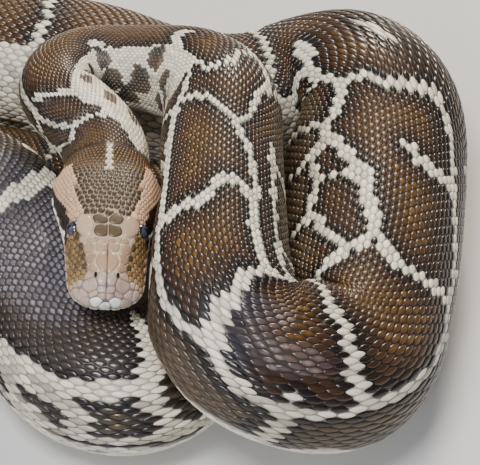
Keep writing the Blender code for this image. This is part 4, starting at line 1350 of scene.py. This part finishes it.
class Sites:
    """Places of the head's shields and scales, with their size and lie, in the head's own frame."""

    def __init__(self, head):
        self.head = head
        self.rows = []
        rows, columns = head.local.shape[:2]
        nose = head.local[-1].mean(0) + np.array((0, 0.0002, 0))
        points = np.concatenate([head.local.reshape(-1, 3), nose[None]])
        index = np.arange(rows * columns).reshape(rows, columns)
        corners = (index[:-1, :-1], index[:-1, 1:], index[1:, 1:], index[1:, :-1])
        faces = np.stack(corners, -1).reshape(-1, 4)
        front = [(int(a), int(b), rows * columns) for a, b in zip(index[-1, :-1], index[-1, 1:])]
        self.tree = BVHTree.FromPolygons(points.tolist(), faces.tolist() + front)

    def surface(self, point):
        """The nearest point of the head's surface and the way out of it there."""
        at, normal, _, _ = self.tree.find_nearest(Vector(point))
        at, normal = np.array(at), np.array(normal)
        start, much = NOSE_OUTWARD
        outward = np.array((at[0], much * max(at[1] - start, 0.0), at[2]))
        return at, normal if normal @ outward > 0 else -normal

    def local(self, station, key):
        """A point of the head's surface by station and key."""
        return head_row(station, np.array([float(key)]))[0]

    def add(self, point, size, crest, kind, station, key):
        """Takes up a scale: half length and half width in centimetres, share of its crest, and kind."""
        at, normal = self.surface(point)
        steep = abs(normal[1]) > STEEP
        forward = np.array((0.0, 0.0, 1.0) if steep else (0.0, 1.0, 0.0))
        along = unit(forward - normal * (forward @ normal))
        across = np.cross(normal, along)
        length, width = size[0] * CM, size[1] * CM
        self.rows.append(Site(at, normal, along, across, length, width, crest, kind, station, key))

    def is_free(self, point, size):
        """Whether a small scale here keeps clear of the shields that are there already."""
        room = size * CM * SHIELD_ROOM
        for site in self.rows:
            step = point - site.at
            if site.kind == "small" or max(abs(step[0]), abs(step[1])) > SHIELD_NEAR:
                continue
            length, width = site.length + room, site.width + room
            if math.hypot((step @ site.along) / length, (step @ site.across) / width) < 1:
                return False
        return True


def place_shields(sites):
    """The named shields and the lips' shields."""
    for station, key, length, width, crest in SIDE_SHIELDS:
        for turn in (key, -key):
            sites.add(sites.local(station, turn), (length, width), crest, "shield", station, turn)
    for station, key, length, width, crest in MIDDLE_SHIELDS:
        sites.add(sites.local(station, key), (length, width), crest, "shield", station, key)
    for across, height, length, width, crest, key in FRONT_SHIELDS:
        for side in (1, -1) if across else (1,):
            point = np.array((across * side, HEAD_LENGTH / CM - 0.3 * across ** 2, height)) * CM
            sites.add(point, (length, width), crest, "shield", 0.99, key * side)
    for first, last, count, key, length, width in (UPPER_LABIALS, LOWER_LABIALS):
        for station in np.linspace(first, last, count):
            for side in (1, -1):
                point = sites.local(station, key * side)
                sites.add(point, (length, width), LABIAL_CREST, "shield", station, key * side)


def place_eye_rings(sites, eyes):
    """The ring of small scales round each eye, open at its top."""
    count, far, size = EYE_RING
    for eye in eyes:
        at, normal = sites.surface(eye)
        along = unit(np.array((0, 1.0, 0)) - normal * normal[1])
        across = np.cross(normal, along)
        for step in range(count):
            turn = 2 * math.pi * (step + 0.5) / count
            point = at + (along * math.cos(turn) + across * math.sin(turn)) * far * CM
            if point[2] < at[2] + EYE_RING_TOP:
                place = station_key(sites.head, sites.surface(point)[0])
                sites.add(point, (size, size * 1.1), EYE_RING_CREST, "ring", *place)


def station_key(head, point):
    """Station and key of a point of the head's surface."""
    far = ((head.local - point) ** 2).sum(-1)
    row, column = np.unravel_index(far.argmin(), far.shape)
    return float(head.station[row]), float(head.key[column])


def small_rows(first, last, low, high, small, large):
    """Rows of one field of small scales: station, half size, and runs and keys of the scales."""
    keys = np.linspace(0, CHIN_KEY, 81)
    station, number = first, 0
    while station < last:
        size = small + (large - small) * (station - first) / (last - first)
        legs = np.linalg.norm(np.diff(head_row(station, keys), axis=0), axis=1)
        run = np.concatenate([[0.0], np.cumsum(legs)]) / CM
        start, end = np.interp((low, high), keys, run)
        spots = np.arange(start + (0.0 if number % 2 else size), end + 0.01, 2 * size)
        yield station, size, spots, np.interp(spots, run, keys)
        station += size * ROW_STEP * CM / HEAD_LENGTH
        number += 1


def place_small_scale(sites, eyes, station, key, side, size, chance):
    """One small scale, strayed a little, unless a shield or an eye is in its way."""
    loose = CROWN_STRAY * float(within(np.array(station), *LOOSE_CROWN)) * (key < LOOSE_KEY)
    off = chance.normal(0, 1, 3) * (STRAY + loose)
    point = sites.local(station + off[0] * size * CM / HEAD_LENGTH, (key + off[1] * size) * side)
    own = size * (1 + off[2])
    clear = min(np.linalg.norm(point - eye) for eye in eyes) > EYE_CLEAR
    if clear and sites.is_free(point, size):
        sites.add(point, (own * SCALE_LONG, own), 1.0, "small", station, key * side)


def place_small_scales(sites, eyes):
    """Small scales in staggered rows wherever no shield lies; one on the midline stands for both sides."""
    chance = np.random.default_rng(11)
    for field in SMALL_SCALES:
        for station, size, spots, keys in small_rows(*field):
            for spot, key in zip(spots, keys):
                for side in (1, -1) if spot >= size * 0.5 else (1,):
                    place_small_scale(sites, eyes, station, float(key), side, size, chance)


def clip(polygon, normal, reach):
    """The part of a flat convex polygon that lies within reach along a direction."""
    result = []
    for i, here in enumerate(polygon):
        after = polygon[(i + 1) % len(polygon)]
        inside, next_inside = here @ normal - reach, after @ normal - reach
        if inside <= 0:
            result.append(here)
        if inside * next_inside < 0:
            result.append(here + (after - here) * (inside / (inside - next_inside)))
    return result


def rounded(polygon, count):
    """A polygon with its corners cut twice, read at even steps round its edge."""
    points = np.array(polygon)
    for _ in range(2):
        after = np.roll(points, -1, 0)
        points = np.stack([points * 0.8 + after * 0.2, points * 0.2 + after * 0.8], 1).reshape(-1, 2)
    closed = np.concatenate([points, points[:1]])
    run = np.concatenate([[0.0], np.cumsum(np.linalg.norm(np.diff(closed, axis=0), axis=1))])
    at = np.linspace(0, run[-1], count, endpoint=False)
    return np.stack([np.interp(at, run, closed[:, k]) for k in (0, 1)], -1)


def cell(sites, number, middles):
    """The outline of one scale in its own plane, where it meets its neighbours."""
    own = sites.rows[number]
    turn = np.linspace(0, 2 * math.pi, CELL_START_SIDES, endpoint=False) + CELL_TURN
    polygon = [np.array((math.cos(a) * own.length, math.sin(a) * own.width)) * CELL_REACH for a in turn]
    reach = max(own.length, own.width) * 2 + CELL_MARGIN
    for other in np.nonzero(np.abs(middles - own.at).max(1) < reach)[0]:
        site = sites.rows[other]
        step = site.at - own.at
        flat = np.array((step @ own.along, step @ own.across))
        size = np.linalg.norm(flat)
        if other == number or size < 1e-6 or site.normal @ own.normal < CELL_OPPOSITE:
            continue
        flat /= size
        gap = np.linalg.norm(step)
        mine = math.hypot(own.length * flat[0], own.width * flat[1])
        back = -step / gap
        theirs = math.hypot(site.length * (back @ site.along), site.width * (back @ site.across))
        polygon = clip(polygon, flat, gap * mine / (mine + theirs) - SHIELD_GAP)
        if len(polygon) < 3:
            return None
    return rounded(polygon, CELL_SIDES)


def on_crown(site):
    """Whether a scale lies in the part of the crown with the pale net."""
    return CROWN[0] < site.station < CROWN[1] and abs(site.key) < CROWN[2]


def shoulder_share(site):
    """Where the shoulder of a head scale lies, by its outline."""
    if site.kind == "small":
        return NET_SHOULDER if on_crown(site) else SMALL_SHOULDER
    return max(SHIELD_SHOULDER, 1 - SHIELD_BEVEL / min(site.length, site.width))


def head_scale_points(sites, site, outline, chance):
    """Points of one scale over the head's surface, and the same points flat."""
    small = site.kind == "small"
    centre = outline.mean(0)
    inside = centre + (outline - centre) * shoulder_share(site)
    deep = centre + (outline[::2] - centre) * (SMALL_CREST_RING if small else SHIELD_CREST_RING)
    flat = np.concatenate([outline, inside, deep, centre[None]])
    crest = SMALL_CREST if small else SHIELD_CREST
    top = crest * site.crest * chance.normal(1, HEAD_CREST_SPREAD)
    shares = np.array(SMALL_HEIGHTS if small else SHIELD_HEIGHTS)[scale_rings(CELL_SIDES)]
    heights = shares * top - head_skin_depth(np.array(site.station), np.array(0.0))
    points = []
    for (u, v), height in zip(flat, heights):
        spot, out = sites.surface(site.at + site.along * u + site.across * v)
        points.append(spot + out * height)
    return np.array(points), flat


def head_scale_tones(site, chance):
    """Colours of one scale's points: darker at its edge, and with a net or gold on the dark arrow."""
    side = abs(site.key)
    colour = head_colours(np.array([site.station]), np.array([site.key]))[0]
    # A nostril is painted near-black: painted shade for its hole.
    if site.crest < NOSTRIL_CREST:
        colour = HOLE_SHADE_AND_PUPIL
    lore = LORE[0] < site.station < LORE[1] and LORE[2] < side < LORE[3]
    colour = colour * (1 + TONE_SPREADS[int(lore)] * np.clip(chance.normal(), -2, 2))
    dark = bool(colour.mean() < DARK_TONE)
    edge, heart = colour * SCALE_EDGES[int(dark)], colour * HEART_TONE
    if dark and on_crown(site):
        edge, heart = edge + ARROW_NET * 0.22, colour * 0.75
    if dark and site.station < ARROW_GOLD[0] and side < ARROW_GOLD[1]:
        heart = colour * 0.5 + GOLD * 0.5
    return np.array((edge, colour, (colour + heart) / 2, heart))[scale_rings(CELL_SIDES)]


def head_scale_pieces(head, eyes):
    """The head's coat: shields and scales cut to fit one another, as an upper and a lower piece."""
    sites = Sites(head)
    place_shields(sites)
    place_eye_rings(sites, eyes)
    place_small_scales(sites, eyes)
    middles = np.array([site.at for site in sites.rows])
    chance = np.random.default_rng(5)
    built = {"upper": [], "lower": []}
    for number, site in enumerate(sites.rows):
        outline = cell(sites, number, middles)
        if outline is None:
            continue
        points, flat = head_scale_points(sites, site, outline, chance)
        tones = head_scale_tones(site, chance)
        place = map_share(np.array((site.station, (site.key + CHIN_KEY) / (2 * CHIN_KEY))))
        place = place + flat / max(site.length, site.width) * PATCH / 3
        part = "upper" if abs(site.key) < MOUTH_KEY else "lower"
        built[part].append((head.to_scene(points), tones, place))
    pieces = []
    for name, parts in built.items():
        points, tones, places = [np.concatenate(group) for group in zip(*parts)]
        faces = repeat_faces(scale_faces(CELL_SIDES), len(parts), len(parts[0][0]))
        pieces.append(add_mesh("coat_head_" + name, points, faces, tones, places))
    return pieces


# ---- eyes ---------------------------------------------------------------------------------------
EYE_RINGS = 40
EYE_SIDES = 48
EYE_FIT = 0.995                # the eyeball by its solid
EYE_SLIT = (0.18, 0.62)        # half width and half height of the pupil, by the eyeball
EYE_RIM_FROM = 0.80            # where the dark rim starts
EYE_STREAKS = (0.85, 0.3, 17)  # the iris's least brightness, how much more, and its half waves in a turn


def eye_centre(side):
    """Middle of an eyeball in the head's own frame; side is 1 on the snake's right, -1 on its left."""
    def point(station, key):
        return head_row(station, np.array([key]))[0]

    step, turn = EYE_STATION_PROBE, EYE_KEY_PROBE
    along = point(EYE_STATION + step, EYE_KEY) - point(EYE_STATION - step, EYE_KEY)
    down = point(EYE_STATION, EYE_KEY + turn) - point(EYE_STATION, EYE_KEY - turn)
    normal = unit(np.cross(down, along))
    if normal[0] < 0:
        normal = -normal
    centre = point(EYE_STATION, EYE_KEY) - normal * EYE_SINK
    return centre * np.array((side, 1, 1)), normal * np.array((side, 1, 1))


def make_eye(name, centre, normal, head):
    """An eyeball: dark blue-grey iris with an upright slit and a dark rim."""
    forward = unit(np.array((0, 1.0, 0)) - normal * normal[1])
    upward = np.cross(normal, forward) * np.sign(normal[0])
    least, more, waves = EYE_STREAKS
    points, tones = [], []
    for ring in range(EYE_RINGS + 1):
        tilt = math.pi * ring / EYE_RINGS
        for side in range(EYE_SIDES):
            turn = 2 * math.pi * side / EYE_SIDES
            u, v, w = math.sin(tilt) * math.cos(turn), math.sin(tilt) * math.sin(turn), math.cos(tilt)
            points.append(centre + EYE_RADIUS * EYE_FIT * (forward * u + upward * v + normal * w))
            streak = least + more * math.sin(turn * waves + ring) ** 2
            tone = EYE_RIM if math.hypot(u, v) > EYE_RIM_FROM else EYE_IRIS * streak
            in_slit = (u / EYE_SLIT[0]) ** 2 + (v / EYE_SLIT[1]) ** 2 < 1
            tones.append(HOLE_SHADE_AND_PUPIL * 0.5 if in_slit else tone)
    index = np.arange(len(points)).reshape(EYE_RINGS + 1, EYE_SIDES)
    turned = np.roll(index, -1, 1)
    faces = np.stack([index[:-1], index[1:], turned[1:], turned[:-1]], -1).reshape(-1, 4)
    return add_mesh(name, head.to_scene(np.array(points)), faces, np.array(tones))


# ---- materials ----------------------------------------------------------------------------------
SPECULAR = 0.32
COAT_ROUGHNESS = 0.13
NOISE_DETAIL = 4.0
MOTTLE = (0.78, 1.22)                  # how far the noise darkens and lightens the colours
GLOSS = (-0.08, 0.10)                  # and how far it lowers and raises the roughness
BUMP_DEPTH = 0.0002
# Roughness, coat, grains in a metre and strength of the bumps.
MATERIALS = {
    "scales": (0.34, 0.45, 260.0, 0.20),
    "skin": (0.55, 0.10, 400.0, 0.30),
    "head_scales": (0.38, 0.30, 420.0, 0.25),
    "jaw_scales": (0.40, 0.25, 420.0, 0.25),
    "eyeball": (0.16, 1.0, 900.0, 0.0),
}


def add_node(material, kind, **values):
    """A new node of a material, with the values of some of its sockets."""
    node = material.node_tree.nodes.new(kind)
    for socket, value in values.items():
        node.inputs[socket.replace("_", " ")].default_value = value
    return node


def skin_material(name, roughness, coat, grain, bump):
    """Scaly skin: the points' colours, mottled, with fine bumps and uneven gloss."""
    material = bpy.data.materials.new(name)
    material.use_nodes = True
    shader = material.node_tree.nodes["Principled BSDF"]
    shader.inputs["Roughness"].default_value = roughness
    shader.inputs["Specular IOR Level"].default_value = SPECULAR
    shader.inputs["Coat Weight"].default_value = coat
    shader.inputs["Coat Roughness"].default_value = COAT_ROUGHNESS
    tint = add_node(material, "ShaderNodeAttribute")
    tint.attribute_name = "tint"
    place = add_node(material, "ShaderNodeTexCoord")
    noise = add_node(material, "ShaderNodeTexNoise", Scale=grain, Detail=NOISE_DETAIL)
    mottle = add_node(material, "ShaderNodeMapRange", To_Min=MOTTLE[0], To_Max=MOTTLE[1])
    low, high = (roughness + change for change in GLOSS)
    gloss = add_node(material, "ShaderNodeMapRange", To_Min=low, To_Max=high)
    scaled = add_node(material, "ShaderNodeVectorMath")
    scaled.operation = "SCALE"
    relief = add_node(material, "ShaderNodeBump", Strength=bump, Distance=BUMP_DEPTH)
    for start, end in (
        (place.outputs["Object"], noise.inputs["Vector"]),
        (noise.outputs["Fac"], mottle.inputs["Value"]),
        (tint.outputs["Color"], scaled.inputs[0]),
        (mottle.outputs["Result"], scaled.inputs["Scale"]),
        (scaled.outputs["Vector"], shader.inputs["Base Color"]),
        (noise.outputs["Fac"], gloss.inputs["Value"]),
        (gloss.outputs["Result"], shader.inputs["Roughness"]),
        (noise.outputs["Fac"], relief.inputs["Height"]),
        (relief.outputs["Normal"], shader.inputs["Normal"]),
    ):
        material.node_tree.links.new(start, end)
    return material


def finish_piece(piece, material, nodes):
    """Gives a piece its material in a slot and its body, and hides the solids of the nodes that it stands
    for.
    """
    piece.data.materials.append(material)
    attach(piece, "root")
    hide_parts(*nodes)


# ---- stage --------------------------------------------------------------------------------------
LOOK_AT = np.array((0.0, 0.0, 0.08)) + COIL_SHIFT
CAMERA_RISE = math.radians(45.0)
CAMERA_DISTANCE = 1.35
CAMERA_LENS = 144.6
SENSOR_WIDTH = 36.0
FLOOR_HALF = 30.0
FLOOR_COLOUR = (0.62, 0.61, 0.59, 1)
FLOOR_ROUGHNESS = 0.75
SKY_COLOUR = (0.80, 0.86, 0.95, 1)
SKY_STRENGTH = 0.20
# Name, place, size in metres, watts and colour; all face the middle of the snake.
LIGHTS = (
    ("key", (-0.2, -0.75, 2.1), 0.7, 46, (0.95, 0.97, 1.0)),
    ("window", (-0.1, -1.75, 1.15), 0.45, 19, (0.84, 0.90, 1.0)),
    ("back", (0.6, 1.8, 1.6), 0.6, 66, (1.0, 0.88, 0.72)),
    ("fill", (-1.8, -0.6, 1.3), 1.6, 9, (0.93, 0.96, 1.0)),
)


def add_floor():
    mesh = bpy.data.meshes.new("floor")
    size = FLOOR_HALF
    corners = [(-size, -size, 0), (size, -size, 0), (size, size, 0), (-size, size, 0)]
    mesh.from_pydata(corners, [], [(0, 1, 2, 3)])
    floor = bpy.data.objects.new("floor", mesh)
    bpy.context.scene.collection.objects.link(floor)
    material = bpy.data.materials.new("floor_paint")
    material.use_nodes = True
    shader = material.node_tree.nodes["Principled BSDF"]
    shader.inputs["Base Color"].default_value = FLOOR_COLOUR
    shader.inputs["Roughness"].default_value = FLOOR_ROUGHNESS
    mesh.materials.append(material)


def add_light(name, place, size, power, colour):
    light = bpy.data.lights.new(name, "AREA")
    light.size = size
    light.energy = power
    light.color = colour
    holder = bpy.data.objects.new(name, light)
    holder.location = place
    holder.rotation_euler = (Vector(LOOK_AT) - Vector(place)).to_track_quat("-Z", "Y").to_euler()
    bpy.context.scene.collection.objects.link(holder)


def add_camera():
    camera = bpy.data.cameras.new("camera")
    camera.lens = CAMERA_LENS
    camera.sensor_width = SENSOR_WIDTH
    holder = bpy.data.objects.new("camera", camera)
    out = Vector((0.0, -math.cos(CAMERA_RISE), math.sin(CAMERA_RISE)))
    holder.location = Vector(LOOK_AT) + out * CAMERA_DISTANCE
    holder.rotation_euler = (-out).to_track_quat("-Z", "Y").to_euler()
    bpy.context.scene.collection.objects.link(holder)
    bpy.context.scene.camera = holder


def add_stage():
    add_floor()
    for light in LIGHTS:
        add_light(*light)
    world = bpy.data.worlds.new("world")
    world.use_nodes = True
    background = world.node_tree.nodes["Background"]
    background.inputs["Color"].default_value = SKY_COLOUR
    background.inputs["Strength"].default_value = SKY_STRENGTH
    bpy.context.scene.world = world
    add_camera()


# ---- which nodes each piece stands for ----------------------------------------------------------
# The body's nodes from the nape to the tail's tip, each with the place where it ends.
NODE_ENDS = (
    ("neck", 0.060), ("trunk_neck_arch", 0.170), ("trunk_front_limb_01", 0.290),
    ("trunk_front_limb_02", 0.375), ("trunk_front_bend", 0.560), ("trunk_mid_limb", 0.640),
    ("trunk_mid_rise", 0.720), ("trunk_rear_bend", 0.900), ("trunk_back", 1.060),
    ("trunk_back_left", 1.220), ("trunk_loop_01", 1.370), ("trunk_loop_02", 1.520),
    ("trunk_loop_03", 1.660), ("trunk_loop_04", 1.800), ("trunk_loop_05", 1.950),
    ("trunk_turn_in", 2.165), ("trunk_left_limb", 2.245), ("trunk_left_bend", 2.400),
    ("trunk_under_limb", 2.590), ("trunk_rear", 2.730), ("trunk_vent", 2.840),
    ("tail_base", 2.990), ("tail_middle", 3.120), ("tail_tip", 3.300),
)
HEAD_NODES = ["head", "lower_jaw"]


def nodes_between(start, end):
    """The nodes of the body that a stretch of the coat lies over."""
    found = []
    before = 0.0
    for name, until in NODE_ENDS:
        if before < end and until > start:
            found.append(name)
        before = until
    return found


def build():
    route = Route()
    axes = head_axes(route)
    body = Body(route, head_balls(axes))
    head = Head(axes)
    paint = {name: skin_material(name, *values) for name, values in MATERIALS.items()}
    finish_piece(make_skin(body, head), paint["skin"], [n for n, _ in NODE_ENDS] + HEAD_NODES)
    for piece, start, end in body_scales(body) + belly_plates(body):
        finish_piece(piece, paint["scales"], nodes_between(start, end))
    eyes = [eye_centre(side) for side in (1, -1)]
    upper, lower = head_scale_pieces(head, [eye[0] for eye in eyes])
    finish_piece(upper, paint["head_scales"], ["head"])
    finish_piece(lower, paint["jaw_scales"], ["lower_jaw"])
    for name, (centre, normal) in zip(("eye_right", "eye_left"), eyes):
        finish_piece(make_eye("visual_" + name, centre, normal, head), paint["eyeball"], [name])


build()
add_stage()
